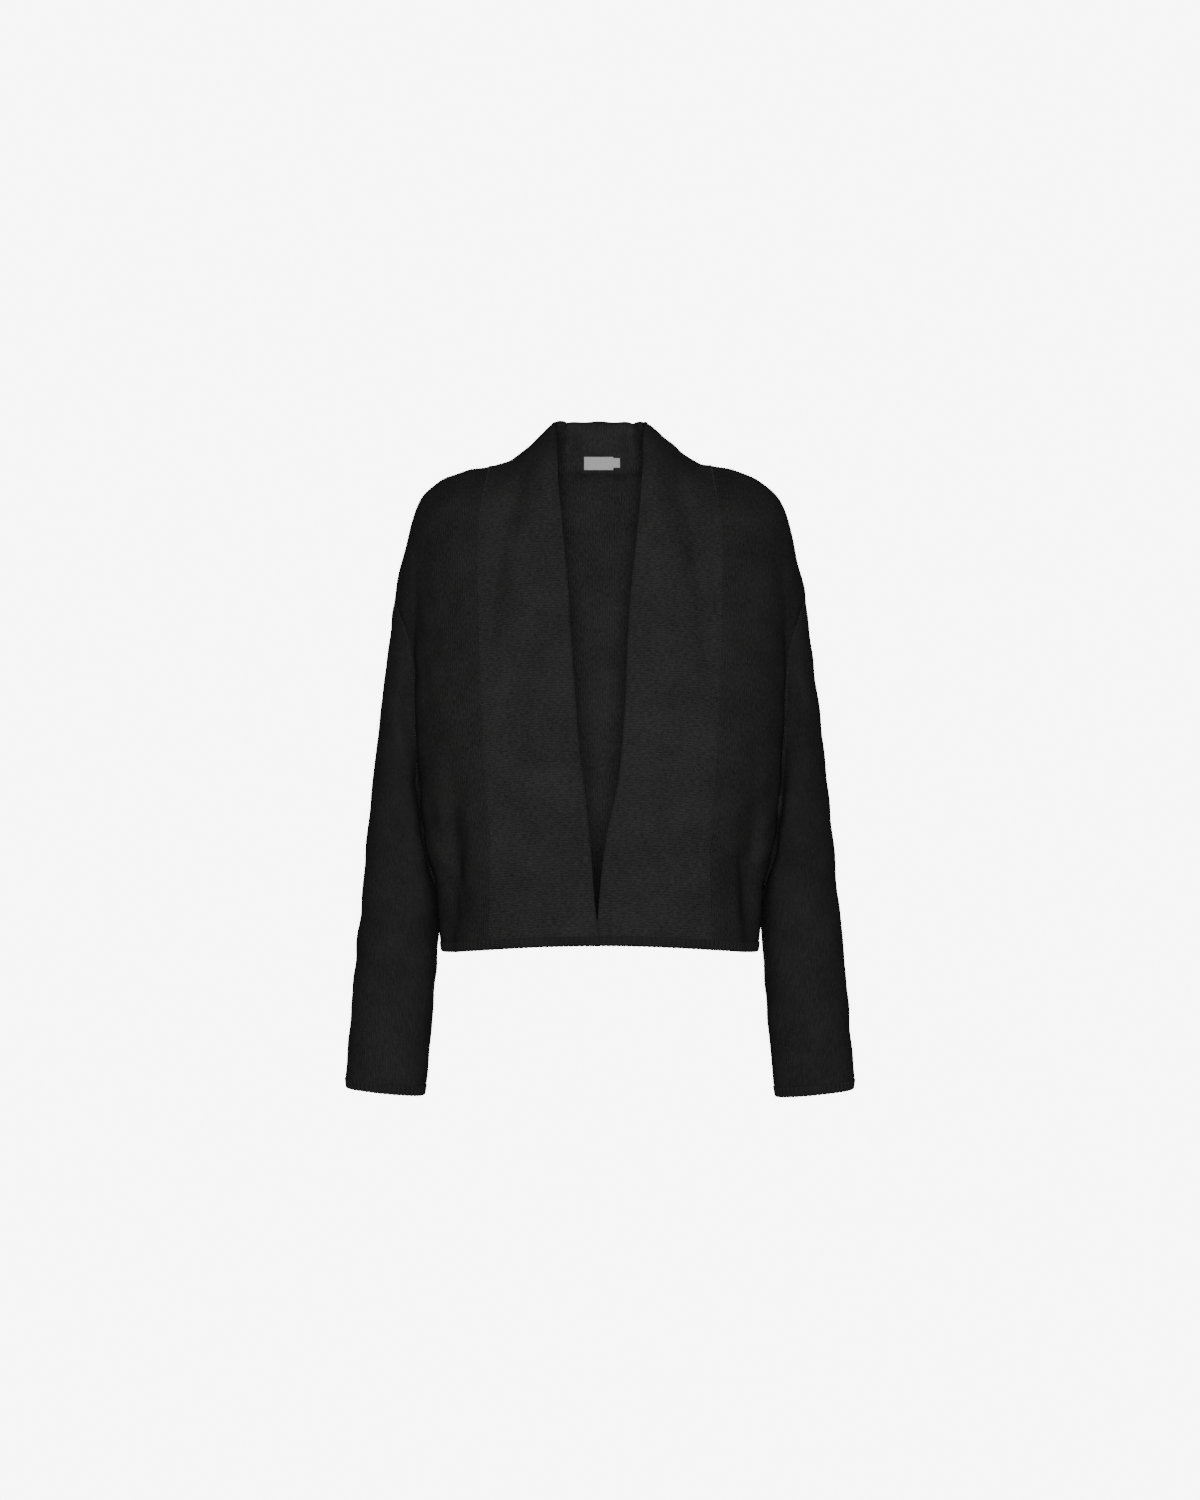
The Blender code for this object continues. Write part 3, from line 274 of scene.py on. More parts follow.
# Widths, depths and routes on the outer face, in millimetres.
CREASES = (
    # the valleys along the armholes
    Crease(10, 15.0, ((203, -50, -150), (202, -52, -230), (198, -52, -280), (192, -48, -340),
                      (185, -38, -385), (177, -26, -425), (169, -14, -480)), INTO_FRONT),
    Crease(10, 15.0, ((-201, -50, -160), (-199, -52, -230), (-197, -52, -280), (-190, -48, -340),
                      (-182, -38, -385), (-174, -26, -425), (-166, -14, -480)), INTO_FRONT),
    Crease(14, 6.0, ((196, 53, -210), (191, 53, -300), (188, 48, -360), (180, 30, -415)), INTO_BACK),
    Crease(14, 6.0, ((-196, 53, -200), (-191, 53, -290), (-188, 48, -350), (-180, 30, -415)), INTO_BACK),
    # where the sleeves press against the sides, and part from them
    Crease(12, 9.0, ((-172, -26, -428), (-168, -22, -465), (-167, -20, -508)), INTO_FRONT),
    Crease(12, 9.0, ((173, -26, -428), (170, -22, -465), (169, -20, -508)), INTO_FRONT),
    Crease(13, -3.5, ((-172, 14, -430), (-172, 2, -442), (-171, -12, -458))),
    Crease(11, 2.4, ((168, -2, -484), (167, -2, -500), (169, -2, -530))),
    # the wearer's left of the collar stands a little wider
    Crease(19, -3.4, ((54, 8, 38), (70, 5, 22), (86, 3, 7), (108, 0, 0))),
    # the folds near the outer sides of the fronts
    Crease(11, 11.0, ((-146, -100, -310), (-149, -96, -370), (-152, -92, -420),
                      (-160, -76, -480)), INTO_FRONT),
    Crease(11, 11.0, ((152, -98, -310), (158, -92, -370), (160, -88, -420), (166, -70, -480)), INTO_FRONT),
    Crease(14, 5.0, ((-144, -98, -420), (-148, -90, -512)), INTO_FRONT),
    Crease(14, 5.0, ((128, -104, -400), (134, -100, -455), (138, -94, -512)), INTO_FRONT),
    # the wearer's right front and band
    Crease(13, 2.6, ((-176, -40, -250), (-170, -74, -330), (-163, -84, -400), (-160, -76, -455))),
    Crease(10, 1.5, ((-184, -38, -300), (-172, -70, -372), (-150, -92, -430))),
    Crease(16, -1.6, ((-138, -104, -250), (-134, -108, -340), (-136, -106, -430))),
    Crease(12, 1.4, ((-128, -100, -180), (-124, -110, -270), (-122, -112, -350))),
    Crease(13, 8.0, ((-80, -52, -10), (-94, -82, -58), (-105, -98, -110), (-111, -106, -165),
                     (-117, -112, -250)), INTO_FRONT),
    Crease(18, -1.2, ((-60, -96, -70), (-58, -118, -160), (-62, -125, -260))),
    Crease(14, 1.2, ((-96, -116, -330), (-70, -124, -385), (-48, -122, -455))),
    Crease(12, 0.9, ((-30, -125, -300), (-50, -126, -360), (-84, -118, -420))),
    # the wearer's left front and band
    Crease(14, 2.4, ((177, -42, -262), (172, -70, -322), (164, -86, -392), (158, -78, -462))),
    Crease(11, 1.6, ((186, -34, -330), (174, -66, -385), (146, -95, -415))),
    Crease(17, -1.5, ((142, -102, -230), (137, -107, -320), (138, -104, -445))),
    Crease(12, 1.2, ((130, -99, -200), (125, -110, -300), (124, -110, -372))),
    Crease(13, 8.0, ((80, -52, -10), (92, -82, -58), (101, -98, -110), (107, -106, -165),
                     (115, -112, -250)), INTO_FRONT),
    # the inner corners of the neck
    Crease(11, 13.0, ((-36, 50, 52), (-35, 54, 30), (-36, 56, 4)), INTO_FRONT),
    Crease(11, 13.0, ((37, 50, 52), (36, 54, 30), (37, 56, 4)), INTO_FRONT),
    # more of the wearer's left front and band
    Crease(17, -1.3, ((60, -98, -76), (62, -119, -170), (66, -125, -280))),
    Crease(14, 1.1, ((100, -115, -300), (76, -123, -372), (58, -121, -448))),
    Crease(11, 0.9, ((34, -125, -330), (58, -126, -372), (92, -117, -408))),
    # the shoulders
    Crease(13, 1.5, ((150, -20, -22), (176, -40, -80), (186, -50, -150))),
    Crease(12, 1.3, ((-146, -22, -22), (-172, -42, -88), (-184, -52, -160))),
    Crease(13, 1.4, ((146, 30, -18), (176, 52, -86), (184, 60, -170))),
    Crease(12, 1.5, ((-150, 28, -20), (-174, 50, -80), (-186, 58, -150))),
    # the back
    Crease(20, 1.8, ((0, 92, -110), (6, 100, -210), (-4, 100, -320))),
    Crease(16, -1.3, ((52, 94, -120), (60, 98, -230), (54, 97, -360))),
    Crease(16, -1.4, ((-58, 94, -100), (-52, 98, -240), (-60, 96, -380))),
    Crease(14, 1.5, ((176, 46, -290), (160, 70, -360), (120, 86, -430))),
    Crease(14, 1.6, ((-178, 44, -270), (-158, 72, -352), (-112, 88, -420))),
    Crease(11, 1.1, ((184, 34, -340), (160, 62, -410), (124, 80, -470))),
    Crease(11, 1.0, ((-184, 36, -330), (-162, 62, -402), (-130, 80, -474))),
    Crease(16, 1.1, ((-70, 92, -420), (0, 94, -440), (64, 92, -416))),
    # the left sleeve
    Crease(14, 2.2, ((188, -52, -300), (206, -58, -350), (232, -46, -396))),
    Crease(12, 1.8, ((184, -44, -400), (206, -54, -432), (240, -34, -452))),
    Crease(12, 1.7, ((182, -34, -480), (208, -50, -500), (242, -32, -528))),
    Crease(13, -1.3, ((196, -54, -450), (220, -52, -476), (246, -24, -490))),
    Crease(12, 1.5, ((252, 0, -500), (240, 36, -540), (206, 46, -570))),
    Crease(13, 2.0, ((186, 50, -330), (210, 60, -370), (238, 44, -410))),
    Crease(11, 1.4, ((180, 30, -520), (204, 46, -552), (236, 38, -590))),
    Crease(10, 1.1, ((196, -48, -600), (222, -48, -618), (250, -30, -612))),
    # the right sleeve
    Crease(14, 2.0, ((-190, -50, -320), (-210, -58, -366), (-236, -44, -420))),
    Crease(12, 1.7, ((-184, -42, -420), (-208, -53, -446), (-240, -34, -474))),
    Crease(13, 1.9, ((-182, -34, -496), (-206, -48, -520), (-244, -30, -548))),
    Crease(13, -1.4, ((-192, -54, -470), (-218, -52, -498), (-248, -22, -512))),
    Crease(12, 1.4, ((-250, 4, -470), (-238, 40, -520), (-204, 48, -556))),
    Crease(13, 1.9, ((-186, 50, -340), (-212, 60, -388), (-240, 42, -436))),
    Crease(11, 1.3, ((-180, 30, -540), (-206, 44, -568), (-240, 34, -600))),
    Crease(10, 1.0, ((-194, -48, -588), (-220, -48, -606), (-248, -30, -604))),
)


# ================================================================================ curves
def column(table: Sequence[NamedTuple], name: str) -> Points:
    """One named column of a table, as numbers."""
    return np.array([getattr(row, name) for row in table], dtype=float)


def monotone(known_at: Points, known: Points, at: Union[Points, float]) -> Points:
    """A smooth curve through a table's rows that never overshoots them.

    Args:
        known_at: Where the rows lie, rising.
        known: The value of each row.
        at: Where the curve is wanted.

    Returns:
        The curve's values there.
    """
    at = np.clip(at, known_at[0], known_at[-1])
    step = np.diff(known_at)
    slope = np.diff(known) / step
    tangent = np.concatenate((slope[:1], np.zeros(len(slope) - 1), slope[-1:]))
    product = slope[:-1] * slope[1:]
    total = slope[:-1] + slope[1:]
    same_sign = product > 0
    tangent[1:-1][same_sign] = 2.0 * product[same_sign] / total[same_sign]
    i = np.clip(np.searchsorted(known_at, at, side="right") - 1, 0, len(step) - 1)
    t = (at - known_at[i]) / step[i]
    start = known[i] * (1 + 2 * t) * (1 - t) ** 2 + tangent[i] * step[i] * t * (1 - t) ** 2
    end = known[i + 1] * t ** 2 * (3 - 2 * t) - tangent[i + 1] * step[i] * t ** 2 * (1 - t)
    return start + end


def spline(known_at: Sequence[float], known: Points, at: Points) -> Points:
    """A natural cubic spline through rows of numbers.

    Args:
        known_at: Where the rows lie, rising.
        known: The rows, of any shape.
        at: Where the spline is wanted.

    Returns:
        A row for each place asked for.
    """
    known_at = np.asarray(known_at, dtype=float)
    flat = np.asarray(known, dtype=float).reshape(len(known_at), -1)
    step = np.diff(known_at)
    system = np.eye(len(known_at))
    right_side = np.zeros_like(flat)
    for k in range(1, len(known_at) - 1):
        system[k, k - 1:k + 2] = step[k - 1], 2 * (step[k - 1] + step[k]), step[k]
        rise = (flat[k + 1] - flat[k]) / step[k] - (flat[k] - flat[k - 1]) / step[k - 1]
        right_side[k] = 6 * rise
    bend = np.linalg.solve(system, right_side)
    i = np.clip(np.searchsorted(known_at, at, side="right") - 1, 0, len(step) - 1)
    b = ((at - known_at[i]) / step[i])[:, None]
    a = 1 - b
    curve = a * flat[i] + b * flat[i + 1]
    curve += ((a ** 3 - a) * bend[i] + (b ** 3 - b) * bend[i + 1]) * step[i][:, None] ** 2 / 6
    return curve.reshape((len(at),) + np.asarray(known).shape[1:])


def arc_lengths(points: Points) -> Points:
    """Distance of each point along a line of points."""
    return np.concatenate(([0.0], np.cumsum(np.linalg.norm(np.diff(points, axis=0), axis=1))))


def along(points: Points, distances: Points) -> Points:
    """Points at the given distances along a line of points."""
    length = arc_lengths(points)
    return np.stack([np.interp(distances, length, points[:, axis]) for axis in range(3)], axis=1)


def spaced(points: Points, count: int) -> Points:
    """A line of points, spaced out evenly into count stretches."""
    return along(points, np.linspace(0.0, arc_lengths(points)[-1], count + 1))


def unit(vectors: Points) -> Points:
    """Vectors of length 1."""
    return vectors / np.maximum(np.linalg.norm(vectors, axis=-1, keepdims=True), 1e-12)


def grid_normals(grid: Points, closed: bool) -> Points:
    """Outward normals of a grid whose columns, then rows, turn the right way round."""
    if closed:
        grid = np.concatenate((grid, grid[:, :1]), axis=1)
    quads = np.cross(grid[1:, 1:] - grid[:-1, :-1], grid[1:, :-1] - grid[:-1, 1:])
    normals = np.zeros_like(grid)
    for rows in (slice(0, -1), slice(1, None)):
        for columns in (slice(0, -1), slice(1, None)):
            normals[rows, columns] += quads
    if closed:
        normals[:, 0] += normals[:, -1]
        normals = normals[:, :-1]
    return unit(normals)


def mirrored(grid: Points) -> Points:
    """The right half's grid for a left one, with its columns turned round to keep its face out."""
    return grid[:, ::-1] * MIRROR


# ================================================================================ pattern and form
@dataclass(frozen=True)
class BodyForm:
    """The form that the body's cloth follows, from the table of sections."""

    arm_radius: float = 0.043
    depth_blend: float = 8.0
    hem_height: float = -0.511
    hem_rise: float = 0.010
    hem_half_width: float = 0.165
    rib_height: float = 0.010

    def size(self, name: str, height: Union[Points, float]) -> Points:
        """A size of the body at a height."""
        return monotone(column(SECTIONS, "height"), column(SECTIONS, name), height)

    def depth(self, x: Points, height: Points, face: Face) -> Points:
        """How far the cloth stands from the plane Y = 0.

        Args:
            x: Distances from the middle of the body.
            height: Heights, one for each x.
            face: The front or the back.

        Returns:
            The depths, which are not negative.
        """
        name = face.name.lower()
        power = self.size(name + "_power", height)
        across = np.clip(np.abs(x) / self.size("chest", height), 0.0, 1.0)
        body = self.size(name, height) * (1.0 - across ** power) ** (1.0 / power)
        past_arm = (np.abs(x) - self.size("side", height) + self.arm_radius) / self.arm_radius
        arm = self.size("arm", height) * np.sqrt(1.0 - np.clip(past_arm, 0.0, 1.0) ** 2)
        return (body ** self.depth_blend + arm ** self.depth_blend) ** (1.0 / self.depth_blend)

    def hem(self, x: Union[Points, float], face: Face) -> Points:
        """Height of the panels' lower edge, above the rib."""
        rise = self.hem_rise * (1.0 - (x / self.hem_half_width) ** 2) if face is Face.FRONT else 0.0 * x
        return self.hem_height + self.rib_height + np.maximum(rise, 0.0)


@dataclass(frozen=True)
class Pattern:
    """The seam lines of the left half, and how finely they are divided."""

    form: BodyForm
    side_rows: int = 16
    armhole_rows: int = 76
    shoulder_columns: int = 50
    neck_columns: int = 42
    fine: int = 900
    underarm: Place = (0.1720, 0.0, -0.443)
    shoulder_point: Place = (0.216, 0.0, -0.144)
    neck_point: Place = (0.116, 0.0, -0.002)
    nape_depth: float = 0.062
    nape_rise: float = 0.008
    neck_power: float = 0.9
    armhole_depth: float = 0.054
    armhole_power: float = 0.9

    def armhole_at(self, step: Points, face: Face) -> Points:
        """Points of the armhole seam, from the underarm (0) to the shoulder point (1)."""
        bottom, top = self.underarm[2], self.shoulder_point[2]
        height = bottom + (top - bottom) * (1.0 - np.cos(math.pi * step)) / 2
        x = monotone(column(ARMHOLE, "height"), column(ARMHOLE, "x"), height)
        y = face.value * self.armhole_depth * np.abs(np.sin(math.pi * step)) ** self.armhole_power
        return np.stack((x, y, height), axis=1)

    def armhole_steps(self) -> Points:
        """Where the armhole's points lie, from the underarm (0) to the shoulder point (1)."""
        fine = np.linspace(0.0, 1.0, self.fine)
        lengths = arc_lengths(self.armhole_at(fine, Face.FRONT))
        plain = np.linspace(0.0, 1.0, self.armhole_rows + 1)
        return (np.interp(plain, lengths / lengths[-1], fine) + plain) / 2

    def armhole_loop(self) -> Points:
        """The whole armhole seam: up the back from the underarm and down the front."""
        steps = self.armhole_steps()
        back, front = self.armhole_at(steps, Face.BACK), self.armhole_at(steps, Face.FRONT)
        return np.concatenate((back[:-1], front[:0:-1]))

    def outer_seam(self, face: Face) -> Points:
        """The side seam from the hem to the underarm, and the armhole above it."""
        height = np.linspace(self.form.hem_height + self.form.rib_height, self.underarm[2],
                             self.side_rows + 1)
        side = np.stack((self.form.size("chest", height), 0.0 * height, height), axis=1)
        return np.concatenate((side[:-1], self.armhole_at(self.armhole_steps(), face)))

    def shoulder_seam(self) -> Points:
        """From the shoulder point to the neck point."""
        height = np.linspace(self.shoulder_point[2], self.neck_point[2], self.fine)
        line = np.stack((self.form.size("side", height), 0.0 * height, height), axis=1)
        return spaced(line, self.shoulder_columns)

    def neckline(self) -> Points:
        """Half of the back neck seam, from the neck point to the nape."""
        turn = np.linspace(0.0, math.pi / 2, self.fine)
        x = self.neck_point[0] * np.cos(turn)
        y = self.nape_depth * np.sin(turn) ** self.neck_power
        z = self.neck_point[2] + self.nape_rise * np.sin(turn) ** 2
        return spaced(np.stack((x, y, z), axis=1), self.neck_columns)

    def band_foot(self) -> float:
        """Height of the foot of the band's seam, above the rib."""
        return float(self.form.hem(BAND[0].seam, Face.FRONT))

    def band_seam_line(self) -> Points:
        """The seam between the front and its band, from the hem to the neck point, in fine points."""
        height = np.linspace(self.band_foot(), self.neck_point[2], self.fine)
        x = monotone(column(BAND, "height"), column(BAND, "seam"), height)
        y = -self.form.depth(x, height, Face.FRONT)
        y[-1] = self.neck_point[1]
        return np.stack((x, y, height), axis=1)

    def band_seam(self) -> Points:
        """The same seam, with a point for each row of the front."""
        line = self.band_seam_line()
        length = arc_lengths(line)
        level = self.underarm[2] + self.form.hem_rise / 2
        underarm_level = np.interp(level, line[:, 2], length)
        below = np.linspace(0.0, underarm_level, self.side_rows + 1)
        above = np.linspace(underarm_level, length[-1], self.armhole_rows + 1)
        return along(line, np.concatenate((below[:-1], above)))


@dataclass(frozen=True)
class BodyGrids:
    """Works out the points of the back and the fronts."""

    pattern: Pattern
    edge_fade: float = 4.0
    top_fade: float = 0.16

    def pressed(self, row: Points, face: Face) -> Points:
        """A row with the body's large folds pressed into it, square to the row and level."""
        length = arc_lengths(row)
        tangent = np.gradient(row, axis=0)[:, :2]
        tangent /= np.maximum(np.linalg.norm(tangent, axis=1), 1e-9)[:, None]
        inward = np.stack((tangent[:, 1], -tangent[:, 0]), axis=1)
        inward *= np.where(inward[:, 1] * -face.value < 0, -1.0, 1.0)[:, None]
        push = np.zeros(len(row))
        for fold in BODY_FOLDS:
            height, x, depth = (np.array(values) for values in zip(*reversed(fold.steps)))
            nearest = np.argmin(np.abs(row[:, 0] - monotone(height, x, row[:, 2])))
            level = row[nearest, 2]
            if fold.face is face and height[0] <= level <= height[-1]:
                offset = (length - length[nearest]) / fold.width
                push += monotone(height, depth, level) * np.exp(-offset ** 2)
        result = row.copy()
        result[:, :2] += inward * push[:, None]
        return result

    def row(self, ends: tuple[Points, Points], edges: tuple[Points, Points], rise: float,
            face: Face) -> Points:
        """One row between two seam points, bent and spaced out as the panel's edges are.

        Args:
            ends: The row's two seam points.
            edges: The panel's lower edge, evenly spaced, and its upper edge.
            rise: How far up the panel the row lies, from 0 to 1.
            face: The front or the back.

        Returns:
            The row, with a point for each point of the upper edge.
        """
        u = 1.0 - (1.0 - np.linspace(0.0, 1.0, self.pattern.fine)) ** 4
        weight = np.stack((1.0 - u, u), axis=1)
        flat = weight @ np.stack(ends)
        for edge, share in zip(edges, (1.0 - rise, rise)):
            fine_edge = along(edge, u * arc_lengths(edge)[-1])
            flat += share * (fine_edge - weight @ np.stack((edge[0], edge[-1])))
        depth = self.pattern.form.depth(flat[:, 0], flat[:, 2], face)
        row = self.pressed(np.stack((flat[:, 0], face.value * depth, flat[:, 2]), axis=1), face)
        share = arc_lengths(row) / arc_lengths(row)[-1]
        row += np.outer((1.0 - share) ** self.edge_fade, ends[0] - row[0])
        row += np.outer(share ** self.edge_fade, ends[1] - row[-1])
        above = arc_lengths(edges[1])
        even = np.interp(np.linspace(0.0, 1.0, len(above)), share, u)
        steps = (1.0 - rise) * even + rise * above / above[-1]
        return np.stack([np.interp(steps, u, row[:, axis]) for axis in range(3)], axis=1)

    def half(self, inner: Points, outer: Points, above: Points, face: Face) -> Points:
        """Rows from an inner seam to an outer one, the last of which is the top seam itself."""
        x = np.linspace(inner[0, 0], outer[0, 0], self.pattern.fine)
        below = np.stack((x, 0.0 * x, self.pattern.form.hem(x, face)), axis=1)
        rises = [(seam[:, 2] - seam[0, 2]) / (seam[-1, 2] - seam[0, 2]) for seam in (inner, outer)]
        rise = (rises[0] + rises[1]) / 2
        rows = [self.row((inner[i], outer[i]), (below, above), rise[i], face) for i in range(len(rise))]
        grid = np.stack(rows)
        near_top = np.clip((rise - 1.0 + self.top_fade) / self.top_fade, 0.0, 1.0) ** 2
        return grid + near_top[:, None, None] * (above - grid[-1])

    def front(self) -> Points:
        """The left front, from its band seam to its side seam and armhole."""
        pattern = self.pattern
        return self.half(pattern.band_seam(), pattern.outer_seam(Face.FRONT),
                         pattern.shoulder_seam()[::-1], Face.FRONT)

    def centre_back(self) -> Points:
        """The middle line of the back, a point for each row."""
        pattern = self.pattern
        heights = pattern.outer_seam(Face.BACK)[:, 2]
        rise = (heights - heights[0]) / (heights[-1] - heights[0])
        height = heights[0] + rise * (pattern.neck_point[2] + pattern.nape_rise - heights[0])
        y = pattern.form.depth(0.0 * height, height, Face.BACK)
        y[-1] = pattern.nape_depth
        return np.stack((0.0 * height, y, height), axis=1)

    def back(self) -> Points:
        """The whole back, from the wearer's left side to the right."""
        pattern = self.pattern
        above = np.concatenate((pattern.shoulder_seam(), pattern.neckline()[1:]))[::-1]
        half = self.half(self.centre_back(), pattern.outer_seam(Face.BACK), above, Face.BACK)
        return np.concatenate((half[:, ::-1], half[:, 1:] * MIRROR), axis=1)


@dataclass(frozen=True)
class BandGrids:
    """Works out the points of the collar bands."""

    pattern: Pattern
    columns: int = 44
    row_top: float = -0.125
    row_step: float = 0.042
    hem_bend: float = 0.060
    lap_top: float = -0.380
    lap_blend: float = 0.050
    right_lap: float = 0.0032
    left_lap: float = -0.0012
    edge_fade: float = 4.0
    before_the_nape: tuple[int, int] = (-2, -4)

    def plain_row(self, seam_point: Points, side: Side) -> Points:
        """A level row of the plain band, from its seam to its free edge."""
        form = self.pattern.form
        height = seam_point[2]
        edge_x = monotone(column(BAND, "height"), column(BAND, side.word + "_edge"), height)
        x = np.linspace(seam_point[0], edge_x, self.pattern.fine)
        share = np.linspace(0.0, 1.0, self.pattern.fine)
        near_hem = np.clip(1.0 - (height - self.pattern.band_foot()) / self.hem_bend, 0.0, 1.0) ** 2
        z = height + near_hem * (form.hem(x, Face.FRONT) - form.hem(seam_point[0], Face.FRONT))
        lap = self.right_lap if side is Side.RIGHT else self.left_lap
        lap *= np.clip((self.lap_top - height) / self.lap_blend, 0.0, 1.0)
        row = np.stack((x, -form.depth(x, z, Face.FRONT) - lap * share ** 3, z), axis=1)
        row += np.outer((1.0 - share) ** self.edge_fade, seam_point - row[0])
        return spaced(row, self.columns)

    def collar_row(self, row: CollarRow, seam_point: Points) -> Points:
        """A row of the collar, from its seam over its turn to its free edge."""
        points = np.array(row[1:]) / MILLIMETRES_IN_A_METRE
        knots = np.concatenate((seam_point[None], points))
        at = arc_lengths(knots)
        return spaced(spline(at, knots, np.linspace(0.0, at[-1], self.pattern.fine)), self.columns)

    def grid(self, side: Side) -> Points:
        """A collar band, from its free edge to its seam: up the front, then round to the nape."""
        neckline = self.pattern.neckline()[1:]
        seam = np.concatenate((self.pattern.band_seam(), neckline))
        front_line = self.pattern.band_seam_line()
        line = np.concatenate((front_line, neckline))
        to_neck = arc_lengths(front_line)[-1]
        foot = self.pattern.band_foot()
        heights = np.concatenate(([foot], np.arange(self.row_top, foot, -self.row_step)[::-1]))
        places = list(np.interp(heights, front_line[:, 2], arc_lengths(front_line)))
        knots = [self.plain_row(point, side) for point in along(line, np.array(places))]
        for row in COLLAR:
            places.append(row.along + to_neck)
            knots.append(self.collar_row(row, along(line, np.array(places[-1:]))[0]))
        nape = arc_lengths(seam)[-1]
        places[-1] = nape
        for before in self.before_the_nape:
            places.append(2 * nape - places[before])
            knots.append(knots[before] * MIRROR)
        grid = spline(places, np.stack(knots), arc_lengths(seam))
        share = np.linspace(1.0, 0.0, self.columns + 1) ** self.edge_fade
        grid += share[None, :, None] * (seam - grid[:, 0])[:, None, :]
        grid[-1, :, 0] = 0.0
        return grid[:, ::-1]


@dataclass(frozen=True)
class SleeveGrids:
    """Works out the points of the sleeves."""

    pattern: Pattern
    rows: int = 84
    ring_fade: float = 0.35
    fold_ends: float = 0.4
    cuff_fade: float = 0.125
    right_folds_lower: float = 0.05
    right_shorter: float = 0.0015

    def places(self) -> Points:
        """How far down the sleeve each ring of the table lies, from 0 to 1."""
        inner = np.stack((column(RINGS, "inner_x"), column(RINGS, "inner_z")), axis=1)
        outer = np.stack((column(RINGS, "outer_x"), column(RINGS, "outer_z")), axis=1)
        steps = sum(np.linalg.norm(np.diff(line, axis=0), axis=1) for line in (inner, outer))
        places = np.concatenate(([0.0], np.cumsum(steps)))
        return places / places[-1]

    @staticmethod
    def ring_points(ring: Ring, turn: Points) -> Points:
        """Points round a ring; turn is 0 at the underarm and pi at the outside, through the back."""
        inner = np.array((ring.inner_x, 0.0, ring.inner_z))
        outer = np.array((ring.outer_x, 0.0, ring.outer_z))
        middle = (inner + outer) / 2 + (0.0, ring.centre_y, 0.0)
        cosine, sine = -np.cos(turn), np.sin(turn)
        across = np.sign(cosine) * np.abs(cosine) ** (2.0 / ring.power)
        deep = np.sign(sine) * np.abs(sine) ** (2.0 / ring.power)
        return middle + np.outer(across, (outer - inner) / 2) + np.outer(deep, (0.0, ring.half_depth, 0.0))

    def lifted(self, side: Side) -> float:
        """How much higher the cuff is on a side."""
        return self.right_shorter if side is Side.RIGHT else 0.0

    def folded(self, grid: Points, down: Points, rounds: Points, side: Side) -> Points:
        """The sleeve's points with its large folds pressed in.

        Args:
            grid: The sleeve's points, on its left side.
            down: How far down the sleeve each row lies.
            rounds: How far round it each column lies, from 0 to 2.
            side: The side whose folds are pressed.

        Returns:
            The folded points.
        """
        length = np.linalg.norm(grid[-1].mean(axis=0) - grid[0].mean(axis=0))
        half_girth = arc_lengths(grid[len(grid) // 2])[-1] / 2
        scale = np.array((length, half_girth))
        place = np.stack(np.broadcast_arrays(down[:, None], rounds[None, :]), axis=2) * scale
        lower = self.right_folds_lower if side is Side.RIGHT else 0.0
        push = np.zeros(grid.shape[:2])
        for fold in SLEEVE_FOLDS:
            start = np.array((fold.start_down + lower, fold.start_round)) * scale
            run = np.array((fold.end_down + lower, fold.end_round)) * scale - start
            share = np.clip(((place - start) @ run) / (run @ run), 0.0, 1.0)
            distance = np.linalg.norm(place - start - share[..., None] * run, axis=2)
            swell = self.fold_ends + (1.0 - self.fold_ends) * np.sin(math.pi * share)
            push += fold.depth * np.exp(-(distance / fold.width) ** 2) * swell
        below_armhole = np.clip(down / self.ring_fade - 1.0, 0.0, 1.0)
        above_cuff = np.clip((1.0 - down) / self.cuff_fade, 0.0, 1.0)
        push *= (below_armhole * above_cuff)[:, None]
        return grid - grid_normals(grid, closed=True) * push[..., None]

    def grid(self, side: Side) -> Points:
        """A sleeve, from its armhole seam to its cuff rib; columns start under the arm."""
        up = self.pattern.armhole_steps() * math.pi
        turns = np.concatenate((up[:-1], 2 * math.pi - up[:0:-1]))
        down = np.linspace(0.0, 1.0, self.rows + 1)
        sizes = spline(self.places(), np.array(RINGS), down)
        grid = np.stack([self.ring_points(Ring(*size), turns) for size in sizes])
        fade = np.clip(1.0 - down / self.ring_fade, 0.0, 1.0) ** 2
        grid += fade[:, None, None] * (self.pattern.armhole_loop() - grid[0])
        grid[..., 2] += self.lifted(side) * down[:, None] ** 2
        grid = self.folded(grid, down, turns / math.pi, side)
        return grid if side is Side.LEFT else mirrored(grid)


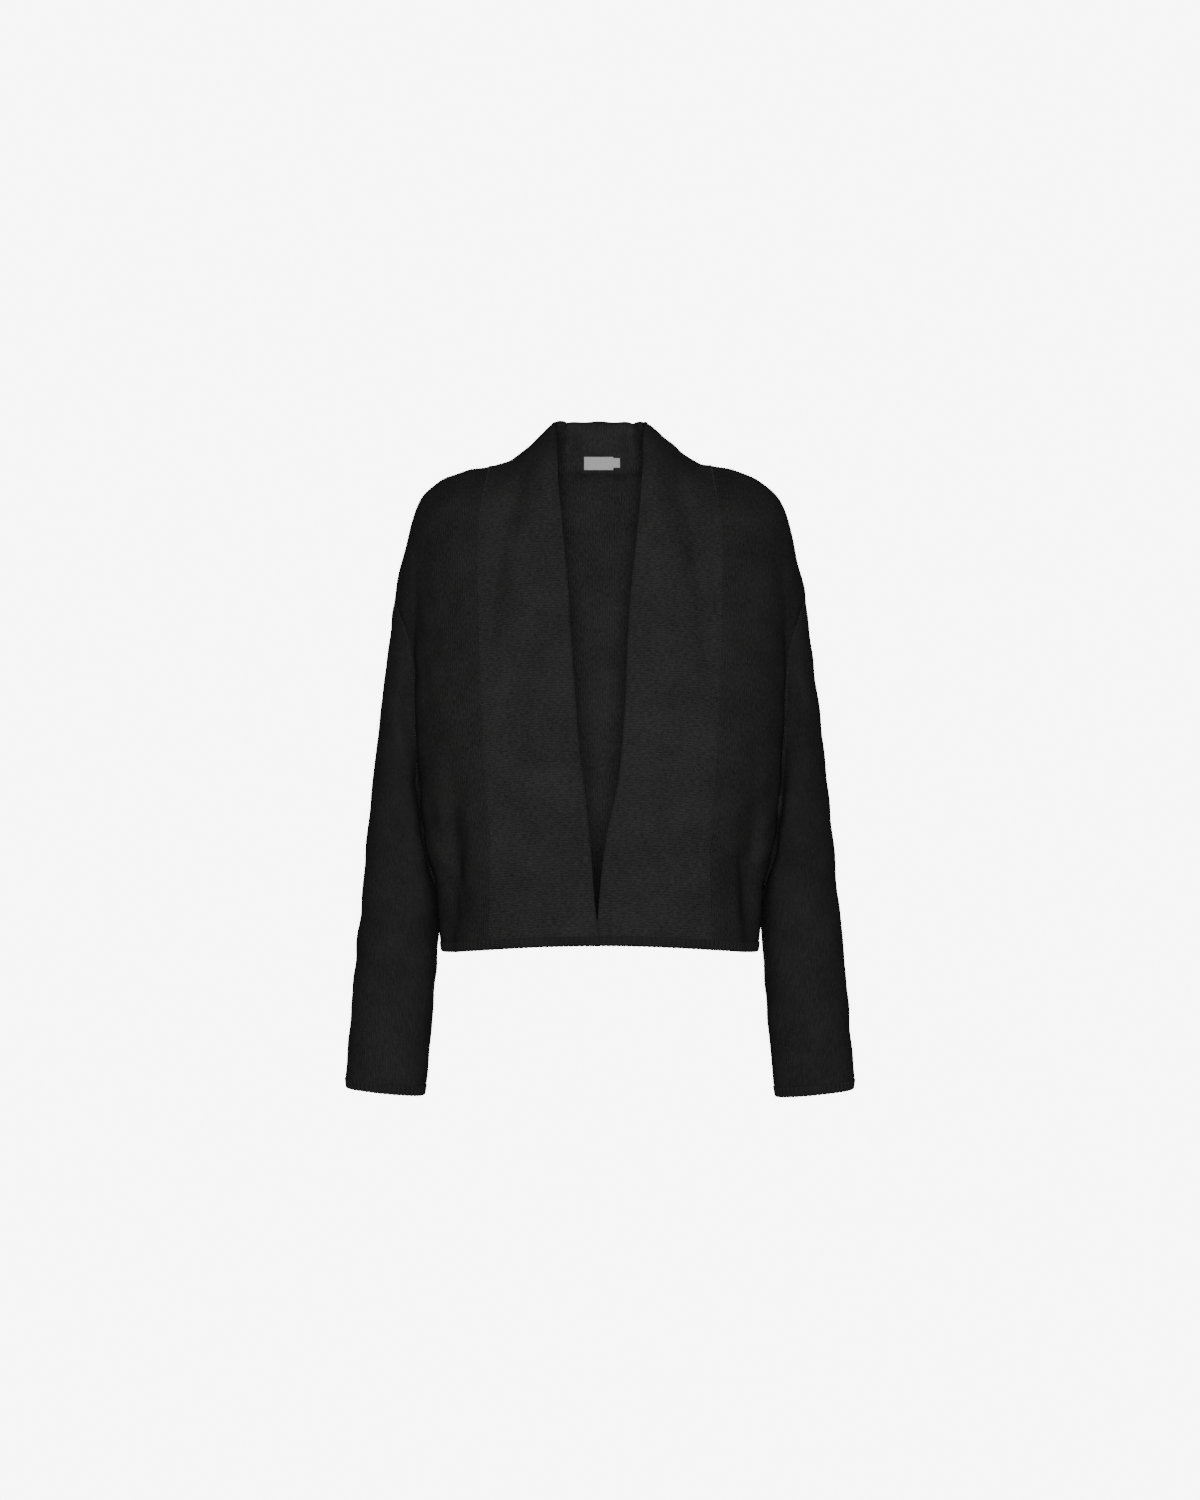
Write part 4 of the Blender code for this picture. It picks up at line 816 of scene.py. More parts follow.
# ================================================================================ cloth walls
class Creases:
    """Soft troughs and ridges from a list, and a low ripple over the whole cloth."""

    fade_from: float = 0.04
    fade_power: float = 0.6
    reach: int = 3

    def __init__(self, creases: Sequence[Crease], finest: float = 0.003) -> None:
        """Divides every route finely.

        Args:
            creases: The creases, with routes in millimetres.
            finest: How far apart the points of a route lie, in metres.
        """
        self.lines: list[tuple[float, float, Points, Place]] = []
        for crease in creases:
            route = np.array(crease.route) / MILLIMETRES_IN_A_METRE
            at = arc_lengths(route)
            count = max(2, round(at[-1] / finest))
            points = spline(at, route, np.linspace(0.0, at[-1], count + 1))
            width, depth = crease.width / MILLIMETRES_IN_A_METRE, crease.depth / MILLIMETRES_IN_A_METRE
            self.lines.append((width, depth, points, crease.pull))

    def pressed(self, points: Points, normals: Points) -> Points:
        """Points of the cloth, in an array of any shape, with the creases pressed into them.

        Args:
            points: The plain points.
            normals: The cloth's outward normals there.

        Returns:
            The moved points.
        """
        flat, inward = points.reshape(-1, 3), -normals.reshape(-1, 3)
        moved = flat + inward * self.ripple(flat)[:, None]
        for width, depth, line, pull in self.lines:
            low, high = line.min(axis=0) - self.reach * width, line.max(axis=0) + self.reach * width
            near = np.flatnonzero(np.all((flat > low) & (flat < high), axis=1))
            if not len(near):
                continue
            offsets = np.linalg.norm(flat[near, None] - line[None], axis=2)
            nearest = offsets.argmin(axis=1)
            share = nearest / (len(line) - 1)
            fade = np.sin(math.pi * np.clip(share, self.fade_from, 1 - self.fade_from)) ** self.fade_power
            distance = offsets[np.arange(len(near)), nearest]
            push = depth * fade * np.exp(-(distance / width) ** 2)
            moved[near] += push[:, None] * (np.array(pull) if any(pull) else inward[near])
        return moved.reshape(points.shape)

    @staticmethod
    def ripple(points: Points, height: float = 0.00035) -> Points:
        """A low uneven ripple, as a soft knit has where nothing pulls at it."""
        x, y, z = points.T
        waves = np.sin(61 * x + 23 * z + 9 * np.sin(17 * z + 3) + 11 * y)
        waves += np.sin(113 * z - 47 * x + 7 * np.sin(29 * x + 1) + 31 * y)
        waves += 0.7 * np.sin(171 * x + 93 * z + 5 * np.sin(41 * y) + 2)
        return height * waves


@dataclass
class ClothWall:
    """A piece of cloth: a grid of points on its outer face, made into a closed wall.

    An edge is first or last (rows), left or right (columns).  Sewn edges are cut straight and meet
    their neighbour's, and the others are rounded.
    """

    name: str
    grid: Points
    sewn: tuple[str, ...]
    closed: bool = False
    raised: Optional[Points] = None
    level: Optional[tuple[Union[int, slice], Points]] = None
    thickness: float = 0.0025
    seam_dip: float = 0.0005
    lip: float = 0.0016
    edge_roll: float = 0.0003
    round_points: int = 3
    sideways: bool = False
    normals: Points = field(init=False)
    reach: Points = field(init=False)
    uv: Points = field(init=False)

    def __post_init__(self) -> None:
        """Works out the normals, and the cloth's own flat measures as texture coordinates."""
        self.normals = grid_normals(self.grid, self.closed)
        self.reach = np.ones(self.grid.shape[:2])
        if self.raised is None:
            self.raised = np.zeros(self.grid.shape[:2])
        across = self.grid if not self.closed else np.concatenate((self.grid, self.grid[:, :1]), axis=1)
        steps = np.linalg.norm(np.diff(across, axis=1), axis=2)
        u = np.concatenate((np.zeros((len(steps), 1)), np.cumsum(steps, axis=1)), axis=1)
        u -= u[:, u.shape[1] // 2][:, None]
        rises = np.linalg.norm(np.diff(across, axis=0), axis=2)
        v = np.concatenate((np.zeros((1, across.shape[1])), np.cumsum(rises, axis=0)), axis=0)
        self.uv = np.stack((v, u) if self.sideways else (u, v), axis=2)

    @property
    def flat_size(self) -> tuple[float, float]:
        """The widest row and the longest column of the cloth, laid flat."""
        u, v = (self.uv[..., 1], self.uv[..., 0]) if self.sideways else (self.uv[..., 0], self.uv[..., 1])
        return float(np.ptp(u, axis=1).max()), float(v.max())

    def seam_places(self) -> list[tuple[int, int]]:
        """Row and column of every point on a sewn edge."""
        rows, columns = self.grid.shape[:2]
        lines = {
            "first": [(0, j) for j in range(columns)],
            "last": [(rows - 1, j) for j in range(columns)],
            "left": [(i, 0) for i in range(rows)],
            "right": [(i, columns - 1) for i in range(rows)],
        }
        return sorted({place for edge in self.sewn for place in lines[edge]})

    def turn_level(self) -> None:
        """Turns the normals of the levelled rows square to their axis, as a hem's or a cuff's are."""
        if self.level is not None:
            rows, axis = self.level
            normals = self.normals[rows]
            self.normals[rows] = unit(normals - (normals @ axis)[..., None] * axis)

    def crease(self, creases: Creases) -> None:
        """Presses creases into the outer face; neighbours at a seam move alike."""
        self.grid = creases.pressed(self.grid, self.normals)

    @property
    def edges(self) -> tuple[str, ...]:
        """The edges that the grid has."""
        return ("first", "last") if self.closed else ("first", "last", "left", "right")

    def shape_edges(self) -> None:
        """Adds a line of points just inside every edge, dips the sewn edges and rolls the free ones."""
        for edge in self.edges:
            if edge not in self.sewn:
                self.grid[self.line(edge, 0)] -= self.outwards(edge) * self.thickness / 2
            self.add_line(edge)
        for edge in self.edges:
            outermost, inside = self.line(edge, 0), self.line(edge, 1)
            if edge in self.sewn:
                self.raised[outermost] -= self.seam_dip
            else:
                self.raised[inside] += self.edge_roll

    @staticmethod
    def line(edge: str, steps: int) -> tuple[Union[int, slice], ...]:
        """The index of the line of points so many steps in from an edge."""
        place = steps if edge in ("first", "left") else -1 - steps
        return (place,) if edge in ("first", "last") else (slice(None), place)

    def add_line(self, edge: str) -> None:
        """Adds a line of points a lip's width inside an edge, between its first two lines."""
        axis = 0 if edge in ("first", "last") else 1
        outermost, inside = self.line(edge, 0), self.line(edge, 1)
        gap = np.linalg.norm(self.grid[inside] - self.grid[outermost], axis=-1)
        share = np.minimum(self.lip / np.maximum(gap, 1e-6), 0.5)
        for name in ("grid", "normals", "reach", "raised", "uv"):
            values = getattr(self, name)
            part = share if name != "uv" or not self.closed else np.append(share, share[:1])
            part = part[..., None] if values.ndim == 3 else part
            line = values[outermost] * (1.0 - part) + values[inside] * part
            at = 1 if edge in ("first", "left") else values.shape[axis] - 1
            setattr(self, name, np.insert(values, at, line, axis=axis))
        self.normals = unit(self.normals)

    def outwards(self, edge: str) -> Points:
        """Directions in the cloth that point out over an edge, square to it."""
        line, next_line = self.line(edge, 0), self.line(edge, 1)
        points = self.grid[line]
        if self.closed:
            run = np.roll(points, -1, axis=0) - np.roll(points, 1, axis=0)
        else:
            run = np.gradient(points, axis=0)
        across = unit(np.cross(unit(run), self.normals[line]))
        inward = np.sum(across * (self.grid[next_line] - points), axis=1)
        return -across * np.sign(inward)[:, None]

    def build(self, finish: bpy.types.Material) -> bpy.types.Object:
        """Makes the wall: outer points, inner points a wall away, and the rims between them.

        Args:
            finish: The cloth's material.

        Returns:
            The new object, a closed mesh.
        """
        outer = self.grid + self.normals * self.raised[..., None]
        inner = self.grid - self.normals * (self.thickness * self.reach)[..., None]
        rows, columns = self.grid.shape[:2]
        maker = MeshMaker(np.concatenate((outer.reshape(-1, 3), inner.reshape(-1, 3))),
                          self.uv.reshape(-1, 2))
        across = columns if self.closed else columns - 1
        i, j = (index.ravel() for index in np.indices((rows - 1, across)))
        wide = self.uv.shape[1]
        corners = ((i, j), (i, j + 1), (i + 1, j + 1), (i + 1, j))
        quads = np.stack([row * columns + line % columns for row, line in corners], axis=1)
        quad_uvs = np.stack([row * wide + line for row, line in corners], axis=1)
        maker.add(quads, quad_uvs)
        maker.add(quads[:, ::-1] + rows * columns, quad_uvs[:, ::-1])
        for edge in self.edges:
            self.add_rim(maker, edge, outer, inner)
        return maker.build(self.name, finish)

    def add_rim(self, maker: "MeshMaker", edge: str, outer: Points, inner: Points) -> None:
        """Adds the rim along one edge, straight where it is sewn and otherwise rounded.

        Args:
            maker: Takes the rim's points and faces.
            edge: Which edge.
            outer: The outer face's points.
            inner: The inner face's points.
        """
        rows, columns = outer.shape[:2]
        index = np.arange(rows * columns).reshape(rows, columns)[self.line(edge, 0)]
        uvs = np.arange(rows * self.uv.shape[1]).reshape(rows, -1)[self.line(edge, 0)]
        strips = [index]
        if edge not in self.sewn:
            start, end = outer[self.line(edge, 0)], inner[self.line(edge, 0)]
            centre, half = (start + end) / 2, (start - end) / 2
            bulge = self.outwards(edge) * np.linalg.norm(half, axis=1)[:, None]
            for k in range(1, self.round_points + 1):
                turn = math.pi * k / (self.round_points + 1)
                strips.append(maker.add_points(centre + half * math.cos(turn) + bulge * math.sin(turn)))
        strips.append(index + rows * columns)
        if self.closed:
            strips = [np.append(strip, strip[:1]) for strip in strips]
        if edge in ("first", "right"):
            strips, uvs = [strip[::-1] for strip in strips], uvs[::-1]
        for near, far in zip(strips, strips[1:]):
            quads = np.stack((near[:-1], near[1:], far[1:], far[:-1]), axis=1)
            maker.add(quads, np.stack((uvs[:-1], uvs[1:], uvs[1:], uvs[:-1]), axis=1))
        if len(strips) > 2 and not self.closed:
            ring = np.array([strip[0] for strip in strips])
            maker.add(ring[None], np.full((1, len(ring)), uvs[0]))
            ring = np.array([strip[-1] for strip in strips[::-1]])
            maker.add(ring[None], np.full((1, len(ring)), uvs[-1]))


class MeshMaker:
    """Gathers points and faces into one mesh with texture coordinates."""

    def __init__(self, points: Points, uvs: Points) -> None:
        """Starts from some points and from the coordinates that faces refer to."""
        self.points = [points]
        self.count = len(points)
        self.uvs = uvs
        self.faces: list[Points] = []
        self.face_uvs: list[Points] = []

    def add_points(self, points: Points) -> Points:
        """Adds points and gives their indices."""
        self.points.append(points)
        self.count += len(points)
        return np.arange(self.count - len(points), self.count)

    def add(self, faces: Points, face_uvs: Points) -> None:
        """Adds faces of equally many corners, with a coordinate's index for each corner."""
        self.faces.append(faces)
        self.face_uvs.append(face_uvs)

    def build(self, name: str, finish: bpy.types.Material, sharp: float = 50.0) -> bpy.types.Object:
        """Makes a smooth-shaded object that is sharp only at its steep edges.

        Args:
            name: The object's name.
            finish: Its material.
            sharp: Edges that turn by more than this many degrees stay sharp.

        Returns:
            The new object.
        """
        mesh = bpy.data.meshes.new(name)
        points = np.concatenate(self.points)
        corners = np.concatenate([faces.ravel() for faces in self.faces])
        sizes = np.concatenate([np.full(len(faces), faces.shape[1]) for faces in self.faces])
        mesh.vertices.add(len(points))
        mesh.vertices.foreach_set("co", points.ravel())
        mesh.loops.add(len(corners))
        mesh.loops.foreach_set("vertex_index", corners)
        mesh.polygons.add(len(sizes))
        mesh.polygons.foreach_set("loop_start", np.concatenate(([0], np.cumsum(sizes)[:-1])))
        layer = mesh.uv_layers.new(name="UVMap")
        layer.data.foreach_set("uv", self.uvs[np.concatenate([f.ravel() for f in self.face_uvs])].ravel())
        mesh.update(calc_edges=True)
        mesh.materials.append(finish)
        mesh.set_sharp_from_angle(angle=math.radians(sharp))
        item = bpy.data.objects.new(name, mesh)
        bpy.context.scene.collection.objects.link(item)
        return item


def share_seam_normals(walls: Sequence[ClothWall]) -> None:
    """Gives the walls that meet at a seam point one normal there, unless they face away.

    Args:
        walls: The walls; where two meet at an angle, each reaches deeper to keep its thickness.
    """
    same_point, facing_away, longest_reach = 0.00005, 0.2, 1.6
    meeting: dict[tuple[int, ...], list[tuple[ClothWall, tuple[int, int]]]] = {}
    for wall in walls:
        for place in wall.seam_places():
            key = tuple(np.round(wall.grid[place] / same_point).astype(int))
            meeting.setdefault(key, []).append((wall, place))
    for members in meeting.values():
        mean = unit(np.sum([wall.normals[place] for wall, place in members], axis=0))
        own = [float(wall.normals[place] @ mean) for wall, place in members]
        for (wall, place), alignment in zip(members, own):
            if alignment > facing_away:
                wall.normals[place] = mean
                wall.reach[place] = min(1.0 / alignment, longest_reach)


# ================================================================================ shader maths
SocketValue = Union[float, Sequence[float], "Signal"]


class Signal:
    """An output socket of a shader graph, with arithmetic that adds the nodes for it."""

    def __init__(self, graph: "Graph", socket: bpy.types.NodeSocket) -> None:
        """Keeps the socket and the graph that it belongs to."""
        self.graph = graph
        self.socket = socket

    def _combine(self, operation: str, first: SocketValue, second: SocketValue) -> "Signal":
        """A maths node over two values."""
        return self.graph.node("ShaderNodeMath", {"operation": operation}, {0: first, 1: second})

    def __add__(self, other: SocketValue) -> "Signal":
        """This plus another."""
        return self._combine("ADD", self, other)

    def __radd__(self, other: SocketValue) -> "Signal":
        """Another plus this."""
        return self._combine("ADD", other, self)

    def __sub__(self, other: SocketValue) -> "Signal":
        """This less another."""
        return self._combine("SUBTRACT", self, other)

    def __mul__(self, other: SocketValue) -> "Signal":
        """This times another."""
        return self._combine("MULTIPLY", self, other)

    def __truediv__(self, other: SocketValue) -> "Signal":
        """This over another."""
        return self._combine("DIVIDE", self, other)

    def __pow__(self, other: SocketValue) -> "Signal":
        """This to a power."""
        return self._combine("POWER", self, other)

    def wave(self) -> "Signal":
        """The sine."""
        return self.graph.node("ShaderNodeMath", {"operation": "SINE"}, {0: self})

    def size(self) -> "Signal":
        """The absolute value."""
        return self.graph.node("ShaderNodeMath", {"operation": "ABSOLUTE"}, {0: self})

    def part(self) -> "Signal":
        """The fractional part, from 0 to 1."""
        return self.graph.node("ShaderNodeMath", {"operation": "FRACT"}, {0: self})


class Graph:
    """The node tree of a new material, with its Principled shader."""

    def __init__(self, name: str) -> None:
        """Makes the material."""
        self.material = bpy.data.materials.new(name)
        self.material.use_nodes = True
        self.tree = self.material.node_tree
        self.shader = self.tree.nodes["Principled BSDF"]

    def node(self, kind: str, settings: Optional[dict[str, object]] = None,
             values: Optional[dict[Union[int, str], SocketValue]] = None,
             output: Union[int, str] = 0) -> Signal:
        """Adds a node.

        Args:
            kind: The node's type.
            settings: Its properties.
            values: What goes into its sockets, constants or signals.
            output: Which of its outputs is wanted.

        Returns:
            That output.
        """
        item = self.tree.nodes.new(kind)
        for name, setting in (settings or {}).items():
            setattr(item, name, setting)
        for socket, value in (values or {}).items():
            self.feed(item.inputs[socket], value)
        return Signal(self, item.outputs[output])

    def feed(self, socket: bpy.types.NodeSocket, value: SocketValue) -> None:
        """Links a signal to a socket, or sets its constant."""
        if isinstance(value, Signal):
            self.tree.links.new(value.socket, socket)
        else:
            socket.default_value = value

    def constants(self, **values: Union[float, Sequence[float]]) -> None:
        """Sets the shader's constants; an underscore in a name stands for a space."""
        for name, value in values.items():
            self.shader.inputs[name.replace("_", " ")].default_value = value

    def noise(self, vector: Signal, scale: float, detail: float = 2.0) -> Signal:
        """Smooth noise from 0 to 1, with so many waves a metre."""
        values = {"Vector": vector, "Scale": scale, "Detail": detail}
        return self.node("ShaderNodeTexNoise", {}, values, "Fac")

    def ramp(self, value: Signal, low: float, high: float, start: float, end: float) -> Signal:
        """A value's stretch from low to high, spread from start to end and clamped."""
        values = {"Value": value, "From Min": low, "From Max": high, "To Min": start, "To Max": end}
        return self.node("ShaderNodeMapRange", {}, values, "Result")

    def shades(self, value: Signal, dark: Sequence[float], light: Sequence[float]) -> Signal:
        """A colour between two, at a value from 0 to 1."""
        return self.node("ShaderNodeMix", {"data_type": "RGBA"}, {0: value, 6: dark, 7: light}, 2)

    def vector(self, x: SocketValue, y: SocketValue) -> Signal:
        """A vector of two coordinates."""
        return self.node("ShaderNodeCombineXYZ", {}, {0: x, 1: y})

    def object_place(self) -> Signal:
        """Coordinates in the object's own space, in metres."""
        return self.node("ShaderNodeTexCoord", {}, {}, "Object")

    def cloth_place(self) -> tuple[Signal, Signal]:
        """How far across and along the cloth a point lies, in metres."""
        place = self.node("ShaderNodeUVMap", {"uv_map": "UVMap"}, {}, "UV")
        split = self.node("ShaderNodeSeparateXYZ", {}, {0: place})
        return split, Signal(self, split.socket.node.outputs["Y"])

    def bump(self, height: Signal, distance: float, strength: float) -> Signal:
        """Normals for a height from 0 to 1, over a distance in metres."""
        return self.node("ShaderNodeBump", {}, {"Height": height, "Distance": distance,
                                                "Strength": strength}, "Normal")

    def dress(self, colour: Signal, roughness: SocketValue, normal: Optional[Signal] = None) -> None:
        """Feeds the shader's varying inputs."""
        self.feed(self.shader.inputs["Base Color"], colour)
        self.feed(self.shader.inputs["Roughness"], roughness)
        if normal is not None:
            self.feed(self.shader.inputs["Normal"], normal)


# ================================================================================ finishes
Colour = tuple[float, float, float, float]


@dataclass(frozen=True)
class KnitFinish:
    """Brushed plain knit: rows of soft stitches under a haze, in a heathered near-black yarn."""

    name: str = "brushed_knit"
    dark: Colour = (0.0058, 0.0058, 0.0058, 1.0)
    light: Colour = (0.0200, 0.0200, 0.0199, 1.0)
    wale: float = 0.0026
    course: float = 0.0019
    relief: float = 0.0007
    streak_width: float = 0.0016
    streak_length: float = 0.0048

    def make(self) -> bpy.types.Material:
        """Makes the material."""
        graph = Graph(self.name)
        place = graph.object_place()
        across, along_cloth = graph.cloth_place()
        drift = graph.noise(place, 160.0, 3.0) - 0.5
        wale = across / self.wale + drift * 0.9
        lean = (wale * math.tau).wave() * 0.32
        course = along_cloth / self.course + lean + drift * 1.1
        rib = (wale * math.pi).wave().size()
        loop = (course * math.pi).wave().size()
        stitch = rib ** 0.7 * (0.45 + loop ** 0.8 * 0.55)
        fuzz = graph.noise(place, 900.0, 5.0)
        clumps = graph.noise(place, 260.0, 4.0)
        height = stitch * graph.ramp(clumps, 0.3, 0.7, 0.35, 0.8) + fuzz * 0.45 + clumps * 0.5
        streak_place = graph.vector(across / self.streak_width, along_cloth / self.streak_length)
        streaks = graph.noise(streak_place, 1.0, 4.0)
        heather = graph.noise(place, 520.0, 4.0)
        patches = graph.noise(place, 26.0, 3.0)
        # The stitch term darkens the colour in the gaps between stitches: painted shade.
        shade = graph.ramp(streaks * 0.42 + heather * 0.26 + patches * 0.20 + stitch * 0.10 + fuzz * 0.08,
                           0.38, 0.66, 0.0, 1.0)
        normal = graph.bump(height, self.relief, 0.8)
        graph.dress(graph.shades(shade, self.dark, self.light), graph.ramp(fuzz, 0.3, 0.7, 0.98, 0.86),
                    normal)
        graph.constants(Specular_IOR_Level=0.04, Sheen_Weight=0.004, Sheen_Roughness=0.5)
        return graph.material


@dataclass(frozen=True)
class RibFinish:
    """The rib: the same yarn, with its courses across each rib."""

    name: str = "fine_rib"
    dark: Colour = (0.0045, 0.0045, 0.0045, 1.0)
    light: Colour = (0.0150, 0.0150, 0.0149, 1.0)
    course: float = 0.0018
    relief: float = 0.0004

    def make(self) -> bpy.types.Material:
        """Makes the material."""
        graph = Graph(self.name)
        place = graph.object_place()
        _across, along_cloth = graph.cloth_place()
        drift = graph.noise(place, 240.0, 3.0) - 0.5
        loop = ((along_cloth / self.course + drift * 0.8) * math.pi).wave().size()
        fuzz = graph.noise(place, 900.0, 5.0)
        # The loop term darkens the colour between the courses: painted shade.
        shade = graph.ramp(fuzz * 0.55 + loop * 0.25 + graph.noise(place, 60.0) * 0.2, 0.3, 0.7, 0.0, 1.0)
        normal = graph.bump(loop * 0.6 + fuzz * 0.5, self.relief, 0.8)
        graph.dress(graph.shades(shade, self.dark, self.light), 0.93, normal)
        graph.constants(Specular_IOR_Level=0.04, Sheen_Weight=0.004, Sheen_Roughness=0.5)
        return graph.material


@dataclass(frozen=True)
class SatinFinish:
    """Plain woven satin in a mid grey."""

    name: str = "grey_satin"
    dark: Colour = (0.165, 0.165, 0.165, 1.0)
    light: Colour = (0.240, 0.240, 0.239, 1.0)
    thread: float = 0.00035
    relief: float = 0.0001

    def make(self) -> bpy.types.Material:
        """Makes the material."""
        graph = Graph(self.name)
        place = graph.object_place()
        across, along_cloth = graph.cloth_place()
        weft = (along_cloth / self.thread * math.pi).wave().size()
        warp = (across / self.thread * math.pi).wave().size() * 0.35
        weave = weft * 0.65 + warp
        cloud = graph.noise(place, 300.0, 3.0)
        shade = graph.ramp(weave * 0.5 + cloud * 0.5, 0.2, 0.8, 0.0, 1.0)
        graph.dress(graph.shades(shade, self.dark, self.light), graph.ramp(cloud, 0.3, 0.7, 0.40, 0.55),
                    graph.bump(weave, self.relief, 0.6))
        graph.constants(Specular_IOR_Level=0.35)
        return graph.material


@dataclass(frozen=True)
class FibreFinish:
    """Loose yarn: the nap's fibres and the linking thread."""

    name: str
    dark: Colour
    light: Colour

    def make(self) -> bpy.types.Material:
        """Makes the material."""
        graph = Graph(self.name)
        shade = graph.ramp(graph.noise(graph.object_place(), 420.0, 2.0), 0.35, 0.65, 0.0, 1.0)
        graph.dress(graph.shades(shade, self.dark, self.light), 0.9)
        graph.constants(Specular_IOR_Level=0.04)
        return graph.material


# A darker copy of the knit, painted shade for the fronts and sleeves.
PAINTED_SHADE_KNIT = KnitFinish("brushed_knit_dull", (0.0048, 0.0048, 0.0048, 1.0), (0.0160, 0.0160, 0.0159, 1.0))
# The linking thread is lighter than the knit: the real thread, with a painted highlight along the seams.
HIGHLIT_LINKING_THREAD = FibreFinish("linking_thread", (0.016, 0.016, 0.016, 1.0), (0.036, 0.036, 0.036, 1.0))
LOOSE_FIBRE = FibreFinish("loose_fibre", (0.007, 0.007, 0.007, 1.0), (0.019, 0.019, 0.019, 1.0))


# ================================================================================ sub-assemblies
def declare(item: bpy.types.Object, node: Optional[str] = None) -> bpy.types.Object:
    """Says what a piece rides on and hides the imported node that it stands for."""
    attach(item, BODY)
    if node is not None:
        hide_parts(node)
    LOG.info("built %s, %d faces", item.name, len(item.data.polygons))
    return item


@dataclass
class Panels:
    """The knitted panels: the back, the fronts, the collar bands and the sleeves."""

    pattern: Pattern
    creases: Creases
    walls: dict[str, ClothWall] = field(init=False)

    def __post_init__(self) -> None:
        """Lays the panels out, joins their normals at the seams and creases them."""
        body, bands, sleeves = BodyGrids(self.pattern), BandGrids(self.pattern), SleeveGrids(self.pattern)
        front = body.front()
        hem = (0, UP)
        all_round = ("first", "last", "left", "right")
        walls = [
            ClothWall("back", body.back(), all_round, level=hem),
            ClothWall("front_left", front, all_round, level=hem),
            ClothWall("front_right", mirrored(front), all_round, level=hem),
            ClothWall("band_left", bands.grid(Side.LEFT), ("first", "last", "right"), level=hem,
                      sideways=True),
            ClothWall("band_right", mirrored(bands.grid(Side.RIGHT)), ("first", "last", "left"),
                      level=hem, sideways=True),
        ]
        for side in Side:
            walls.append(ClothWall("sleeve_" + side.word, sleeves.grid(side), ("first", "last"),
                                   closed=True, level=(-1, self.arm_axis(side))))
        share_seam_normals(walls)
        for wall in walls:
            wall.turn_level()
            wall.crease(self.creases)
        self.walls = {wall.name: wall for wall in walls}

    @staticmethod
    def arm_axis(side: Side) -> Points:
        """The direction of the sleeve at its cuff."""
        ring = RINGS[-1]
        across = np.array((ring.outer_x - ring.inner_x, 0.0, ring.outer_z - ring.inner_z))
        return unit(np.cross(across, (0.0, 1.0, 0.0))) * (side.value, 1.0, 1.0)

    def build(self, middle: bpy.types.Material, outer: bpy.types.Material) -> dict[str, bpy.types.Object]:
        """Makes the panels' objects, once nothing needs their plain edges any more.

        Args:
            middle: The material of the back and the bands.
            outer: A darker copy of the knit for the fronts and sleeves: painted shade.

        Returns:
            The objects by their names.
        """
        items = {}
        for name, wall in self.walls.items():
            wall.shape_edges()
            painted_shade = name.startswith(("front", "sleeve"))
            # The fronts and sleeves take the darker copy of the knit, painted shade.
            items[name] = declare(wall.build(outer if painted_shade else middle), name)
        return items


